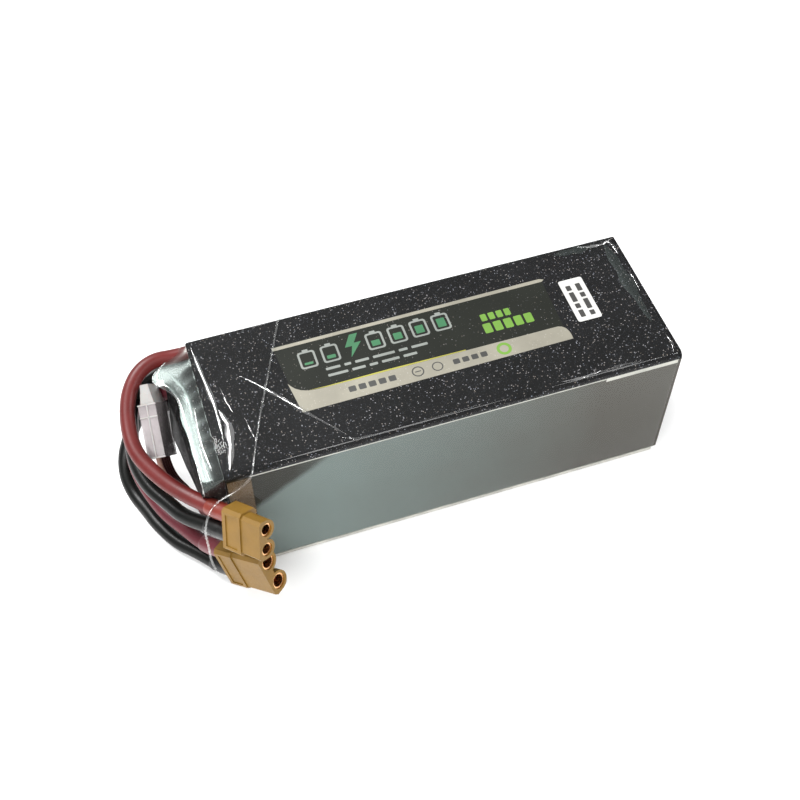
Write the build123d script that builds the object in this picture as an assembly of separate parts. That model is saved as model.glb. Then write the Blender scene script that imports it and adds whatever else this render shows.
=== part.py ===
from build123d import *
import os
from math import pi, radians, tan

# A four-cell lithium polymer battery pack in a shrink film, with two pairs of silicone leads,
# two power plugs and one balance plug. Millimetres, +Z up, +X along the pack away from the leads.
# The origin is under the middle of the pack with its film collar, on the face it rests on.

# ---- driving dimensions ----
PACK_LENGTH = 165.0
PACK_WIDTH = 61.0
PACK_HEIGHT = 60.0
COLLAR_REACH = 15.0        # how far the open mouth of the film stands off the wire end
FILM = 0.2
CARD = 0.6                 # label cards above and below the cells
SIDE_PLATE = 0.8
PACK_EDGE_RADIUS = 2.4
CELL_COUNT = 4
CELL_PAD = 0.4
CELL_EDGE_RADIUS = 3.0
GAP = 0.05                 # assembly clearance between flat parts
END_BLOCK_THICKNESS = 7.0
TAB_SPACE = 5.0
PLAIN_END_PAD = 2.0
LEAD_DIAMETER = 5.4        # 10 AWG silicone lead
BALANCE_WIRE_DIAMETER = 1.8
BAND_DIAMETER = 0.8
SLEEVE_LENGTH = 7.0
SLEEVE_WALL = 0.45
SOCKET_DEPTH = 12.0

# ---- derived planes of the pack ----
WIRE_END = -(PACK_LENGTH + COLLAR_REACH) / 2 + COLLAR_REACH
PLAIN_END = WIRE_END + PACK_LENGTH
HALF_WIDTH = PACK_WIDTH / 2
CARD_TOP = PACK_HEIGHT - FILM - GAP
STACK_BOTTOM = FILM + GAP + CARD + GAP
STACK_TOP = CARD_TOP - CARD - GAP
STACK_HALF = HALF_WIDTH - FILM - GAP - SIDE_PLATE - GAP
CELL_THICKNESS = (2 * STACK_HALF - (CELL_COUNT - 1) * (CELL_PAD + 2 * GAP)) / CELL_COUNT
CELL_PITCH = CELL_THICKNESS + CELL_PAD + 2 * GAP
CELL_START = WIRE_END + END_BLOCK_THICKNESS + TAB_SPACE
CELL_END = PLAIN_END - FILM - GAP - PLAIN_END_PAD - GAP
CELL_MIDDLE_HEIGHT = (STACK_BOTTOM + STACK_TOP) / 2

# ---- free leads: routes from the wire end to the back of each plug ----
UPPER_RED_ROUTE = [
    (-75.0, 27.3, 56.2), (-80.6, 27.3, 56.2), (-85.9, 27.0, 57.4), (-90.9, 25.0, 57.6),
    (-95.4, 21.4, 56.5), (-99.3, 15.4, 53.6), (-101.3, 6.2, 50.4), (-101.0, -3.0, 48.1),
    (-97.1, -10.9, 46.4), (-92.3, -18.0, 45.1), (-87.3, -23.7, 44.7),
]
UPPER_BLACK_ROUTE = [
    (-75.0, 27.3, 49.0), (-80.6, 27.3, 49.0), (-87.7, 27.2, 49.5), (-93.9, 24.7, 48.3),
    (-98.4, 20.4, 45.5), (-100.6, 15.0, 41.7), (-101.8, 8.3, 37.9), (-102.2, 0.8, 35.5),
    (-99.7, -8.6, 33.8), (-94.9, -16.5, 33.7), (-90.7, -24.9, 34.9),
]
LOWER_RED_ROUTE = [
    (-75.0, 19.6, 48.0), (-81.0, 19.6, 48.0), (-86.8, 20.5, 46.1), (-93.9, 23.0, 41.9),
    (-97.8, 24.6, 37.3), (-100.1, 25.0, 31.6), (-101.5, 23.4, 24.6), (-103.0, 19.0, 18.5),
    (-103.1, 12.5, 14.3), (-100.6, 3.4, 11.8), (-96.8, -6.6, 11.2), (-91.8, -14.7, 11.9),
]
LOWER_BLACK_ROUTE = [
    (-75.0, 19.6, 40.6), (-81.0, 19.6, 40.6), (-87.4, 21.1, 38.8), (-92.5, 24.0, 35.0),
    (-96.1, 28.9, 28.4), (-99.1, 30.2, 21.4), (-103.0, 28.3, 14.9), (-106.7, 23.6, 9.9),
    (-107.9, 17.1, 5.7), (-106.3, 9.8, 3.1), (-103.1, 1.8, 3.3), (-100.7, -5.4, 3.6),
    (-95.6, -14.6, 3.1), (-89.2, -21.3, 3.8),
]
BAND_ROUTE = [
    (-40.0, 31.2, 50.5), (-40.05, 31.25, 55.0), (-40.2, 31.2, 58.9), (-40.9, 29.3, 61.0),
    (-42.6, 25.0, 60.75), (-46.0, 17.0, 60.7), (-49.4, 9.0, 60.6), (-53.0, 0.6, 60.6),
    (-56.6, -7.6, 60.6), (-60.0, -16.0, 60.65), (-62.8, -23.4, 60.8), (-64.6, -28.6, 61.0),
    (-65.8, -31.2, 59.2), (-67.6, -31.5, 56.4), (-70.4, -31.6, 53.6), (-74.0, -31.7, 51.6),
    (-77.8, -32.0, 50.6), (-82.0, -34.2, 49.4), (-84.6, -36.6, 44.8), (-85.4, -37.3, 38.4),
    (-85.2, -36.4, 31.0), (-85.4, -35.0, 23.6), (-85.6, -34.0, 16.6), (-84.6, -35.0, 9.6),
]


class PlugFrame:
    """Where a plug lies: x runs from its back to its mating face, y from pin to pin, and z from its
    flat face to the barrel side."""

    def __init__(self, origin, axis, pins):
        """Makes the frame from the middle of the flat face's back edge and two directions."""
        axis, pins = Vector(*axis).normalized(), Vector(*pins)
        thickness = axis.cross(pins).normalized()
        self.axis = axis
        self.plane = Plane(origin=Vector(*origin), x_dir=axis, z_dir=thickness)

    def at(self, x, y, z):
        """The point at these plug coordinates."""
        return self.plane.from_local_coords(Vector(x, y, z))

    def place(self, shape):
        """A shape modelled at the origin, moved to the plug."""
        return self.plane.location * shape


class PlugSize:
    """The sizes of one two-pin power plug."""

    def __init__(self, rear, front, width, thickness, pitch, barrel_radius, socket_radius, bore_radius):
        self.rear, self.front, self.width, self.thickness = rear, front, width, thickness
        self.pitch, self.barrel_radius = pitch, barrel_radius
        self.socket_radius, self.bore_radius = socket_radius, bore_radius
        self.length = rear + front
        self.middle = thickness / 2


UPPER_PLUG = PlugSize(8.0, 8.2, 15.6, 8.0, 7.2, 3.5, 2.35, 1.75)
LOWER_PLUG = PlugSize(8.0, 13.2, 17.8, 8.8, 9.6, 3.9, 2.9, 2.25)
UPPER_FRAME = PlugFrame((-79.64, -40.74, 46.63), (0.595, -0.745, 0.301), (-0.169, -0.483, -0.859))
LOWER_FRAME = PlugFrame((-82.53, -36.3, 13.44), (0.614, -0.670, 0.418), (0.220, -0.363, -0.905))

# ---- balance plug: x across the contacts, z along its mating axis ----
BALANCE_CENTRE = Vector(-91.8, 5.8, 45.4)
BALANCE_AXIS = Vector(0.068, 0.813, 0.578)
BALANCE_ROW = Vector(0.303, 0.535, -0.788)
BALANCE_PITCH = 2.5
BALANCE_WIRES = 5
HOUSING_SIZE = (12.0, 5.4, 21.0)
HOUSING_OUTER_SIZE = (11.2, 5.0, 6.0)
GUARD_SIZE = (13.4, 6.2, 19.0)
GUARD_WALL = 0.35
BALANCE_EXIT = (WIRE_END, -17.6, 24.0)   # where the first balance wire leaves the end block


def box(x, y, z):
    """A box between the limits of each axis."""
    size = [limit[1] - limit[0] for limit in (x, y, z)]
    middle = [(limit[1] + limit[0]) / 2 for limit in (x, y, z)]
    return Pos(*middle) * Box(*size)


def rounded_bar(x, half_width, z, radius):
    """A bar along X with its four long edges rounded."""
    bar = box(x, (-half_width, half_width), z)
    return fillet(bar.edges().filter_by(Axis.X), radius)


def save(name, shape):
    """Writes one node."""
    shape.label = name
    export_step(shape, f"parts/{name}.step")


def corner_radii(points):
    """The largest arc that each corner's two runs leave room for."""
    radii = []
    for before, corner, after in zip(points, points[1:], points[2:]):
        first, second = corner - before, after - corner
        turn = radians(first.get_angle(second))
        radii.append(0.45 * min(first.length, second.length) / tan(turn / 2))
    return radii


def tube(name, route, diameter):
    """A round tube along straight runs joined by arcs."""
    points = [Vector(*point) for point in route]
    radii = corner_radii(points)
    path = Wire(FilletPolyline(*points, radius=radii).edges())
    start = Plane(origin=path @ 0, z_dir=path % 0)
    swept = sweep(start * Circle(diameter / 2), path=path)
    expected = pi * diameter**2 / 4 * path.length
    print(f"{name}: length {path.length:.1f}, least radius {min(radii):.1f},"
          f" volume {swept.volume:.1f} of {expected:.1f}")
    return swept


def drop(local_x, pin, size, frame, diameter, length):
    """A cylinder on a pin's line that runs back from local_x."""
    base = Plane(origin=frame.at(local_x, pin, size.middle), z_dir=-frame.axis)
    return base.location * Cylinder(diameter / 2, length, align=(Align.CENTER, Align.CENTER, Align.MIN))


# ---- cells ----
def cell_centre(index):
    """The middle of a cell across the pack."""
    return (index - (CELL_COUNT - 1) / 2) * CELL_PITCH


def make_cells():
    """Pouch cells on edge, side by side, with foam pads between them."""
    seal_height, seal_thickness = 1.6, 1.2
    for index in range(CELL_COUNT):
        centre = cell_centre(index)
        body = box(
            (CELL_START, CELL_END),
            (centre - CELL_THICKNESS / 2, centre + CELL_THICKNESS / 2),
            (STACK_BOTTOM + seal_height, STACK_TOP - seal_height),
        )
        body = fillet(body.edges().filter_by(Axis.X), CELL_EDGE_RADIUS)
        for low, high in ((STACK_BOTTOM, STACK_BOTTOM + seal_height), (STACK_TOP - seal_height, STACK_TOP)):
            body += box(
                (CELL_START, CELL_END), (centre - seal_thickness, centre + seal_thickness), (low, high)
            )
        save(f"cell_{index + 1}", body)
    for index in range(CELL_COUNT - 1):
        middle = (cell_centre(index) + cell_centre(index + 1)) / 2
        pad = box(
            (CELL_START + 4, CELL_END - 4),
            (middle - CELL_PAD / 2, middle + CELL_PAD / 2),
            (STACK_BOTTOM + 6, STACK_TOP - 6),
        )
        save(f"cell_pad_{index + 1}", pad)


# ---- electrical connections at the wire end ----
TAB_THICKNESS = 0.3
TAB_WIDTH = 12.0
TAB_REACH = 3.0
UPPER_TAB_HEIGHT = 44.0
LOWER_TAB_HEIGHT = 16.0
LINK_THICKNESS = 0.8


def tab(index, height):
    """One cell tab, a thin strip out of the cell's wire end."""
    centre = cell_centre(index)
    return box(
        (CELL_START - TAB_REACH, CELL_START),
        (centre - TAB_THICKNESS / 2, centre + TAB_THICKNESS / 2),
        (height - TAB_WIDTH / 2, height + TAB_WIDTH / 2),
    )


def link(first, last, height):
    """A bar in front of the tabs from one cell to another, soldered to their ends."""
    overhang = 3.0
    return box(
        (CELL_START - TAB_REACH - LINK_THICKNESS, CELL_START - TAB_REACH),
        (cell_centre(first) - overhang, cell_centre(last) + overhang),
        (height - TAB_WIDTH / 2, height + TAB_WIDTH / 2),
    )


def make_connections():
    """Tabs, series links, the two end bars and the tinned ends of the leads."""
    for index in range(CELL_COUNT):
        save(f"cell_tabs_{index + 1}", Compound(children=[tab(index, UPPER_TAB_HEIGHT), tab(index, LOWER_TAB_HEIGHT)]))
    save("series_link_1", link(0, 1, LOWER_TAB_HEIGHT))
    save("series_link_2", link(1, 2, UPPER_TAB_HEIGHT))
    save("series_link_3", link(2, 3, LOWER_TAB_HEIGHT))
    save("negative_bar", link(0, 0, UPPER_TAB_HEIGHT))
    bar = link(3, 3, UPPER_TAB_HEIGHT)
    save("positive_bar", bar)


def make_end_block():
    """The black foam block that the leads come out of, and the fibre board behind it."""
    wires = [route[0] for route in (UPPER_RED_ROUTE, UPPER_BLACK_ROUTE, LOWER_RED_ROUTE, LOWER_BLACK_ROUTE)]
    board_thickness = 1.0
    back = WIRE_END + END_BLOCK_THICKNESS
    far = HALF_WIDTH - FILM - GAP
    block = box((WIRE_END, back - board_thickness - GAP), (-STACK_HALF, far), (STACK_BOTTOM, STACK_TOP))
    block = fillet(block.edges().filter_by(Axis.X), 2.0)
    depth = END_BLOCK_THICKNESS - board_thickness - GAP
    ends = []
    for _, y, z in wires:
        hole = Pos(WIRE_END + depth / 2, y, z) * Rot(0, 90, 0) * Cylinder(LEAD_DIAMETER / 2, depth)
        block -= hole
        ends.append(hole)
    save("wire_end_block", block)
    save("lead_ends", Compound(children=ends))
    board = box((back - board_thickness, back), (-STACK_HALF + 1, STACK_HALF - 1), (STACK_BOTTOM + 1, STACK_TOP - 1))
    save("balance_board", board)
    pad = rounded_bar(
        (CELL_END + GAP, CELL_END + GAP + PLAIN_END_PAD), STACK_HALF, (STACK_BOTTOM, STACK_TOP), 2.0
    )
    save("plain_end_pad", pad)


# ---- covers ----
def make_covers():
    """Side plates, label cards, tape, rating sticker and the film round all of it."""
    span = (WIRE_END + 0.4, PLAIN_END - FILM - GAP)
    behind_block = (WIRE_END + END_BLOCK_THICKNESS, span[1])
    edge = PACK_EDGE_RADIUS
    for name, side, reach in (("near_side_plate", -1, span), ("far_side_plate", 1, behind_block)):
        outer = HALF_WIDTH - FILM - GAP
        limits = sorted((side * outer, side * (outer - SIDE_PLATE)))
        save(name, box(reach, limits, (edge, PACK_HEIGHT - edge)))
    skin = FILM + GAP
    for name, low, high in (
        ("top_label_card", STACK_TOP + GAP, CARD_TOP),
        ("bottom_card", skin, STACK_BOTTOM - GAP),
    ):
        save(name, box(span, (-HALF_WIDTH + edge, HALF_WIDTH - edge), (low, high)))
    outer = rounded_bar((WIRE_END, PLAIN_END), HALF_WIDTH, (0, PACK_HEIGHT), edge)
    inner = rounded_bar(
        (WIRE_END - 1, PLAIN_END - FILM), HALF_WIDTH - FILM, (FILM, PACK_HEIGHT - FILM), edge - FILM
    )
    save("shrink_film", outer - inner)


def sheet_section(x, outline):
    """One station of a thin sheet that runs along an outline of (y, z) points."""
    skin = 0.3
    below = [(y, z - skin) for y, z in reversed(outline)]
    return Wire.make_polygon([Vector(x, y, z) for y, z in outline + below], close=True)


def make_collar():
    """The open mouth of the film, which stands off the wire end and reaches out to a far tip."""
    leg = 0.4
    mouth_x, tip_x = WIRE_END - 7.3, WIRE_END - COLLAR_REACH
    top = Solid.make_loft(
        [
            sheet_section(WIRE_END, [(29.5, PACK_HEIGHT), (-HALF_WIDTH + leg, PACK_HEIGHT)]),
            sheet_section(mouth_x, [(24.4, PACK_HEIGHT), (-28.8 + leg, 57.2)]),
        ],
        ruled=True,
    )
    tip = Solid.make_loft(
        [
            sheet_section(mouth_x, [(24.4, PACK_HEIGHT), (-6.0, 58.38)]),
            sheet_section(tip_x, [(21.5, 57.2), (18.5, 57.0)]),
        ],
        ruled=True,
    )
    near = Solid.make_loft(
        [
            leg_section(WIRE_END, -HALF_WIDTH, leg, PACK_HEIGHT, 47.0),
            leg_section(mouth_x, -28.8, leg, 57.2, 50.0),
        ],
        ruled=True,
    )
    save("film_collar", top + tip + near)


def leg_section(x, y, thickness, top, bottom):
    """One station of the collar's near leg."""
    corners = [(y, top), (y + thickness, top), (y + thickness, bottom), (y, bottom)]
    return Wire.make_polygon([Vector(x, side, z) for side, z in corners], close=True)


def make_end_flap():
    """The black flap that leaves the wire end under the film's mouth and hangs down in front of it."""
    skin = 0.4
    near = [(-75.0, 57.0), (-79.0, 56.2), (-82.0, 54.6), (-83.2, 52.4), (-83.4, 50.5), (-83.4, 49.0)]
    far = [(-75.0, 57.2), (-79.5, 56.4), (-83.0, 54.2), (-84.8, 49.0), (-85.1, 43.0), (-84.6, 37.0)]
    stations = []
    for y, outline in ((-24.0, near), (16.0, far)):
        inner = [(x + skin, z - skin) for x, z in outline[1:]]
        loop = outline + inner[::-1] + [(WIRE_END, outline[0][1] - skin)]
        stations.append(Wire.make_polygon([Vector(x, y, z) for x, z in loop], close=True))
    save("wire_end_flap", Solid.make_loft(stations, ruled=True))


def make_sticker_and_tape():
    """The rating sticker on the label and the tape on the near corner, both on the film."""
    sticker_length, sticker_width, sticker_thickness, corner = 9.2, 20.0, 0.1, 1.0
    sticker = Box(sticker_length, sticker_width, sticker_thickness)
    sticker = fillet(sticker.edges().filter_by(Axis.Z), corner)
    top = PACK_HEIGHT + sticker_thickness / 2
    save("rating_sticker", Pos(PLAIN_END - 24.8, 4.1, top) * sticker)
    tape_width, tape_thickness = 8.0, 0.15
    tape = box(
        (WIRE_END + 0.5, WIRE_END + 0.5 + tape_width),
        (-HALF_WIDTH - tape_thickness, -HALF_WIDTH),
        (PACK_EDGE_RADIUS + 1, PACK_HEIGHT - PACK_EDGE_RADIUS - 1),
    )
    save("corner_tape", tape)


# ---- power plugs ----
def plug_housing(size):
    """A plug's housing: a rear block with a framed panel on its flat face, and a front block with two barrels."""
    chamfer_size = 1.1
    rear = Pos(size.rear / 2, 0, size.middle) * Box(size.rear, size.width, size.thickness)
    rear = chamfer(rear.edges().filter_by(Axis.X), chamfer_size)
    panel_depth, panel_margin = 0.35, 1.5
    panel = Pos(size.rear / 2, 0, panel_depth / 2) * Box(
        size.rear - 2 * panel_margin, size.width - 2 * panel_margin - 1.0, panel_depth
    )
    rear -= panel
    step = 0.45
    front_start = size.rear
    slab_width = size.pitch + 2 * size.barrel_radius
    slab_height = size.middle - step
    slab = Pos(front_start + size.front / 2, 0, step + slab_height / 2) * Box(size.front, slab_width, slab_height)
    flat_edges = slab.edges().filter_by(Axis.X).sort_by(Axis.Z)[:2]
    front = chamfer(flat_edges, chamfer_size)
    for pin in (-size.pitch / 2, size.pitch / 2):
        barrel = Cylinder(size.barrel_radius, size.front)
        front += Pos(front_start + size.front / 2, pin, size.middle) * Rot(0, 90, 0) * barrel
    housing = rear + front
    for pin in (-size.pitch / 2, size.pitch / 2):
        housing -= Pos(size.length / 2, pin, size.middle) * Rot(0, 90, 0) * Cylinder(size.socket_radius, size.length)
    return housing


def plug_sockets(size):
    """The two gold tubes that take the other plug's pins, closed at the back where the leads join."""
    inset = 0.5
    reach = size.length - inset
    sockets = []
    for pin in (-size.pitch / 2, size.pitch / 2):
        outside = Pos(reach / 2, pin, size.middle) * Rot(0, 90, 0) * Cylinder(size.socket_radius, reach)
        bore = Pos(reach - SOCKET_DEPTH / 2, pin, size.middle) * Rot(0, 90, 0) * Cylinder(
            size.bore_radius, SOCKET_DEPTH
        )
        sockets.append(outside - bore)
    return Compound(children=sockets)


def make_plugs():
    """Both power plugs with their leads and shrink sleeves."""
    for level, size, frame, red_route, black_route, straight in (
        ("upper", UPPER_PLUG, UPPER_FRAME, UPPER_RED_ROUTE, UPPER_BLACK_ROUTE, (9.0, 9.0)),
        ("lower", LOWER_PLUG, LOWER_FRAME, LOWER_RED_ROUTE, LOWER_BLACK_ROUTE, (9.0, 8.0)),
    ):
        save(f"{level}_plug_housing", frame.place(plug_housing(size)))
        save(f"{level}_plug_sockets", frame.place(plug_sockets(size)))
        for colour, pin, route, back_off in (
            ("red", -size.pitch / 2, red_route, straight[0]),
            ("black", size.pitch / 2, black_route, straight[1]),
        ):
            end = frame.at(0, pin, size.middle)
            before = frame.at(-back_off, pin, size.middle)
            name = f"{level}_{colour}_lead"
            points = route + [tuple(before), tuple(end)]
            print(name, "ends", [round(value, 1) for value in tuple(before) + tuple(end)])
            save(name, tube(name, points, LEAD_DIAMETER))
            outside = drop(0, pin, size, frame, LEAD_DIAMETER + 2 * SLEEVE_WALL, min(SLEEVE_LENGTH, 0.55 * back_off))
            inside = drop(0, pin, size, frame, LEAD_DIAMETER, SLEEVE_LENGTH)
            save(f"{level}_{colour}_sleeve", outside - inside)


# ---- balance plug ----
def make_balance_plug():
    """The balance plug in its clip-on guard, its contacts and its wires."""
    frame = Plane(origin=BALANCE_CENTRE, x_dir=BALANCE_ROW, z_dir=BALANCE_AXIS)
    half_guard = GUARD_SIZE[2] / 2
    bottom = -half_guard + 1.0
    inner = Pos(0, 0, bottom + (half_guard - bottom) / 2) * Box(
        HOUSING_SIZE[0], HOUSING_SIZE[1], half_guard - bottom
    )
    nose = Pos(0, 0, half_guard + HOUSING_OUTER_SIZE[2] / 2) * Box(*HOUSING_OUTER_SIZE)
    housing = inner + nose
    slots, contacts = [], []
    top = half_guard + HOUSING_OUTER_SIZE[2]
    contact_size, contact_length = 1.0, 10.0
    for index in range(BALANCE_WIRES):
        x = (index - (BALANCE_WIRES - 1) / 2) * BALANCE_PITCH
        slots.append(Pos(x, 0, top - contact_length / 2) * Box(contact_size, contact_size, contact_length))
        contacts.append(Pos(x, 0, top - contact_length / 2 - 0.5) * Box(contact_size, contact_size, contact_length - 1))
    for slot in slots:
        housing -= slot
    save("balance_plug_housing", frame.location * housing)
    save("balance_contacts", frame.location * Compound(children=contacts))
    clearance = 0.05
    shell = Box(*GUARD_SIZE) - Box(HOUSING_SIZE[0] + 2 * clearance, HOUSING_SIZE[1] + 2 * clearance, GUARD_SIZE[2])
    half = Pos(0, GUARD_SIZE[1] / 2, 0) * Box(GUARD_SIZE[0] + 1, GUARD_SIZE[1], GUARD_SIZE[2] + 1)
    save("balance_guard_far", frame.location * (shell & half))
    save("balance_guard_near", frame.location * (shell - half))
    for index in range(BALANCE_WIRES):
        x = (index - (BALANCE_WIRES - 1) / 2) * BALANCE_PITCH
        start = frame.from_local_coords(Vector(x, 0, bottom))
        below = frame.from_local_coords(Vector(x, 0, bottom - 7.0))
        exit_x, exit_y, exit_z = BALANCE_EXIT
        z = exit_z - index * BALANCE_PITCH
        route = [
            (exit_x, exit_y, z),
            (exit_x - 4.6, exit_y, z),
            (exit_x - 9.4, exit_y + 1.2 + 0.5 * index, z + 2.2),
            (exit_x - 13.2 + 0.7 * index, exit_y + 4.0 + 1.25 * index, z + 8.4),
            tuple(below),
            tuple(start),
        ]
        name = f"balance_wire_{index + 1}"
        print(name, [tuple(round(value, 1) for value in point) for point in route])
        save(name, tube(name, route, BALANCE_WIRE_DIAMETER))


def make_band():
    """The clear band that holds the plugs against the corner."""
    save("clear_band", tube("clear_band", BAND_ROUTE, BAND_DIAMETER))


os.makedirs("parts", exist_ok=True)
make_cells()
make_connections()
make_end_block()
make_covers()
make_collar()
make_end_flap()
make_sticker_and_tape()
make_plugs()
make_balance_plug()
make_band()
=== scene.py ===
import logging
import math
from dataclasses import dataclass
from enum import Enum
from typing import Callable, Optional, Sequence

import bmesh
import bpy
from mathutils import Matrix, Vector


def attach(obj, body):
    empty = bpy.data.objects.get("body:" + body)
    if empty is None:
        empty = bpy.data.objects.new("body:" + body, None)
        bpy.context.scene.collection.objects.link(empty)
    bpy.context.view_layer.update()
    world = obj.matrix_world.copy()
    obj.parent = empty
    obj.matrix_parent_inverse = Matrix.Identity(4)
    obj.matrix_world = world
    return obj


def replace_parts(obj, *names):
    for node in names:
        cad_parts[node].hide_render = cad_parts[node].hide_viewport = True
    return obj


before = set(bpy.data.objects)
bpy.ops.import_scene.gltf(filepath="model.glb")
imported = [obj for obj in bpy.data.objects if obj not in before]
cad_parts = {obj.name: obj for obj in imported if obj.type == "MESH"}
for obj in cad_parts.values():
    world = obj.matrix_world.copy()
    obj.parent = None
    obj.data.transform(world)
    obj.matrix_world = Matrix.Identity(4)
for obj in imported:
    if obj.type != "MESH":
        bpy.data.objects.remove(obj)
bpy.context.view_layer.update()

MM = 0.001
Point = tuple[float, float, float]
Flat = tuple[float, float]
LOG = logging.getLogger("battery_pack")

# The pack's planes, in millimetres, as the frame has them.
WIRE_END, PLAIN_END = -75.0, 90.0
HALF_WIDTH, HEIGHT = 30.5, 60.0
LABEL_TOP = 59.74
LEAD, BALANCE_WIRE, BAND = 5.4, 1.8, 0.8

# A colour Mix node's sockets, by number, because its names repeat.
MIX_FACTOR, MIX_FIRST, MIX_SECOND, MIX_RESULT = 0, 6, 7, 2


class Part(Enum):
    """The parts of a mesh that can be picked, by the name of their select mode."""

    EDGES = "EDGE"
    FACES = "FACE"


class Line(Enum):
    """How a curve runs between its points."""

    STRAIGHT = "POLY"
    SMOOTH = "NURBS"


class FarEnd(Enum):
    """What a cord's far end is on."""

    PLUG = "plug"
    OBJECT = "object"


class Stiffness(Enum):
    """How a cord bends."""

    LIMP = "limp"
    STIFF = "stiff"


class Lay(Enum):
    """How a cord lies between its ends."""

    LOOSE = "loose"
    TAUT = "taut"


class Effect(Enum):
    """The effects that several finishes share."""

    GRAIN = "surface_grain"
    FLAKES = "glitter_flakes"
    SCUFFS = "fine_scuffs"


# ---------------------------------------------------------------- node trees
class Tree:
    """Adds nodes to a material or a node group in short calls."""

    def __init__(self, tree: bpy.types.NodeTree) -> None:
        """Keeps the tree.

        Args:
            tree: the node tree to add to.
        """
        self.tree = tree

    def add(self, kind: str, settings: Optional[dict] = None, **sockets: object) -> bpy.types.Node:
        """Adds one node.

        Args:
            kind: the node's type, without its ShaderNode prefix.
            settings: attributes to set on the node.
            sockets: input names with _ for spaces, each a value or an output to link.

        Returns:
            The node.
        """
        node = self.tree.nodes.new("ShaderNode" + kind)
        for name, value in (settings or {}).items():
            setattr(node, name, value)
        for name, value in sockets.items():
            self.put(node, name.replace("_", " "), value)
        return node

    def put(self, node: bpy.types.Node, socket: object, value: object) -> None:
        """Links or sets one input.

        Args:
            node: the node.
            socket: the input's name or number.
            value: an output to link, or a constant.
        """
        target = node.inputs[socket]
        if isinstance(value, bpy.types.NodeSocket):
            self.tree.links.new(value, target)
        else:
            target.default_value = value

    def math(self, operation: str, *values: object) -> bpy.types.NodeSocket:
        """One maths node. Returns: its output."""
        node = self.tree.nodes.new("ShaderNodeMath")
        node.operation = operation
        for index, value in enumerate(values):
            self.put(node, index, value)
        return node.outputs[0]

    def mix(self, factor: object, first: object, second: object) -> bpy.types.NodeSocket:
        """Mixes two colours. Returns: the mixed colour."""
        node = self.tree.nodes.new("ShaderNodeMix")
        node.data_type = "RGBA"
        self.put(node, MIX_FACTOR, factor)
        self.put(node, MIX_FIRST, first)
        self.put(node, MIX_SECOND, second)
        return node.outputs[MIX_RESULT]

    def share(self, value: object, factor: object) -> bpy.types.NodeSocket:
        """Multiplies two values. Returns: the product."""
        return self.math("MULTIPLY", value, factor)

    def spread(
        self, value: object, low: float, high: float, to_low: float = 0.0, to_high: float = 1.0
    ) -> bpy.types.NodeSocket:
        """Maps a value's range onto another and clamps it. Returns: the mapped value."""
        node = self.add("MapRange", {"clamp": True})
        for index, item in enumerate((value, low, high, to_low, to_high)):
            self.put(node, index, item)
        return node.outputs[0]


def group(
    effect: Effect, inputs: Sequence[tuple[str, float]], outputs: Sequence[tuple[str, str]]
) -> tuple[bpy.types.NodeTree, Tree, bpy.types.Node, bpy.types.Node]:
    """Makes an empty shader node group with named sockets.

    Args:
        effect: the effect that the group makes.
        inputs: each input's name and default.
        outputs: each output's name and socket type.

    Returns:
        The group, its Tree, its input node and its output node.
    """
    made = bpy.data.node_groups.new(effect.value, "ShaderNodeTree")
    for label, default in inputs:
        socket = made.interface.new_socket(label, in_out="INPUT", socket_type="NodeSocketFloat")
        socket.default_value = default
    for label, kind in outputs:
        made.interface.new_socket(label, in_out="OUTPUT", socket_type=kind)
    tree = Tree(made)
    return made, tree, made.nodes.new("NodeGroupInput"), made.nodes.new("NodeGroupOutput")


def grain_group() -> bpy.types.NodeTree:
    """Fine surface grain over a softer unevenness. Returns: the group."""
    made, tree, source, out = group(
        Effect.GRAIN,
        [("Scale", 900.0), ("Soft Scale", 60.0), ("Soft Share", 0.5)],
        [("Height", "NodeSocketFloat"), ("Mask", "NodeSocketFloat")],
    )
    place = tree.add("TexCoord").outputs["Object"]
    fine = tree.add("TexNoise", Vector=place, Scale=source.outputs["Scale"], Detail=3.0, Roughness=0.6)
    soft = tree.add("TexNoise", Vector=place, Scale=source.outputs["Soft Scale"], Detail=4.0, Roughness=0.55)
    share = source.outputs["Soft Share"]
    blend = tree.math(
        "ADD",
        tree.share(fine.outputs[0], tree.math("SUBTRACT", 1.0, share)),
        tree.share(soft.outputs[0], share),
    )
    tree.put(out, "Height", blend)
    tree.put(out, "Mask", tree.spread(soft.outputs[0], 0.35, 0.65))
    return made


def flake_group() -> bpy.types.NodeTree:
    """Glitter flakes, each with its own brightness and hue. Returns: the group."""
    made, tree, source, out = group(
        Effect.FLAKES,
        [("Scale", 2600.0), ("Amount", 0.1)],
        [("Mask", "NodeSocketFloat"), ("Tint", "NodeSocketColor")],
    )
    place = tree.add("TexCoord").outputs["Object"]
    cells = tree.add("TexVoronoi", Vector=place, Scale=source.outputs["Scale"])
    parts = tree.add("SeparateColor", Color=cells.outputs["Color"])
    limit = tree.math("SUBTRACT", 1.0, source.outputs["Amount"])
    chosen = tree.math("GREATER_THAN", parts.outputs[0], limit)
    flake_size, least_strength = 0.42, 0.15
    warm, cool = (0.86, 0.70, 0.56, 1.0), (0.66, 0.76, 0.98, 1.0)
    inside = tree.math("LESS_THAN", cells.outputs["Distance"], flake_size)
    strength = tree.spread(parts.outputs[1], 0.0, 1.0, least_strength, 1.0)
    tree.put(out, "Mask", tree.share(tree.share(chosen, inside), strength))
    tree.put(out, "Tint", tree.mix(parts.outputs[2], warm, cool))
    return made


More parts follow.
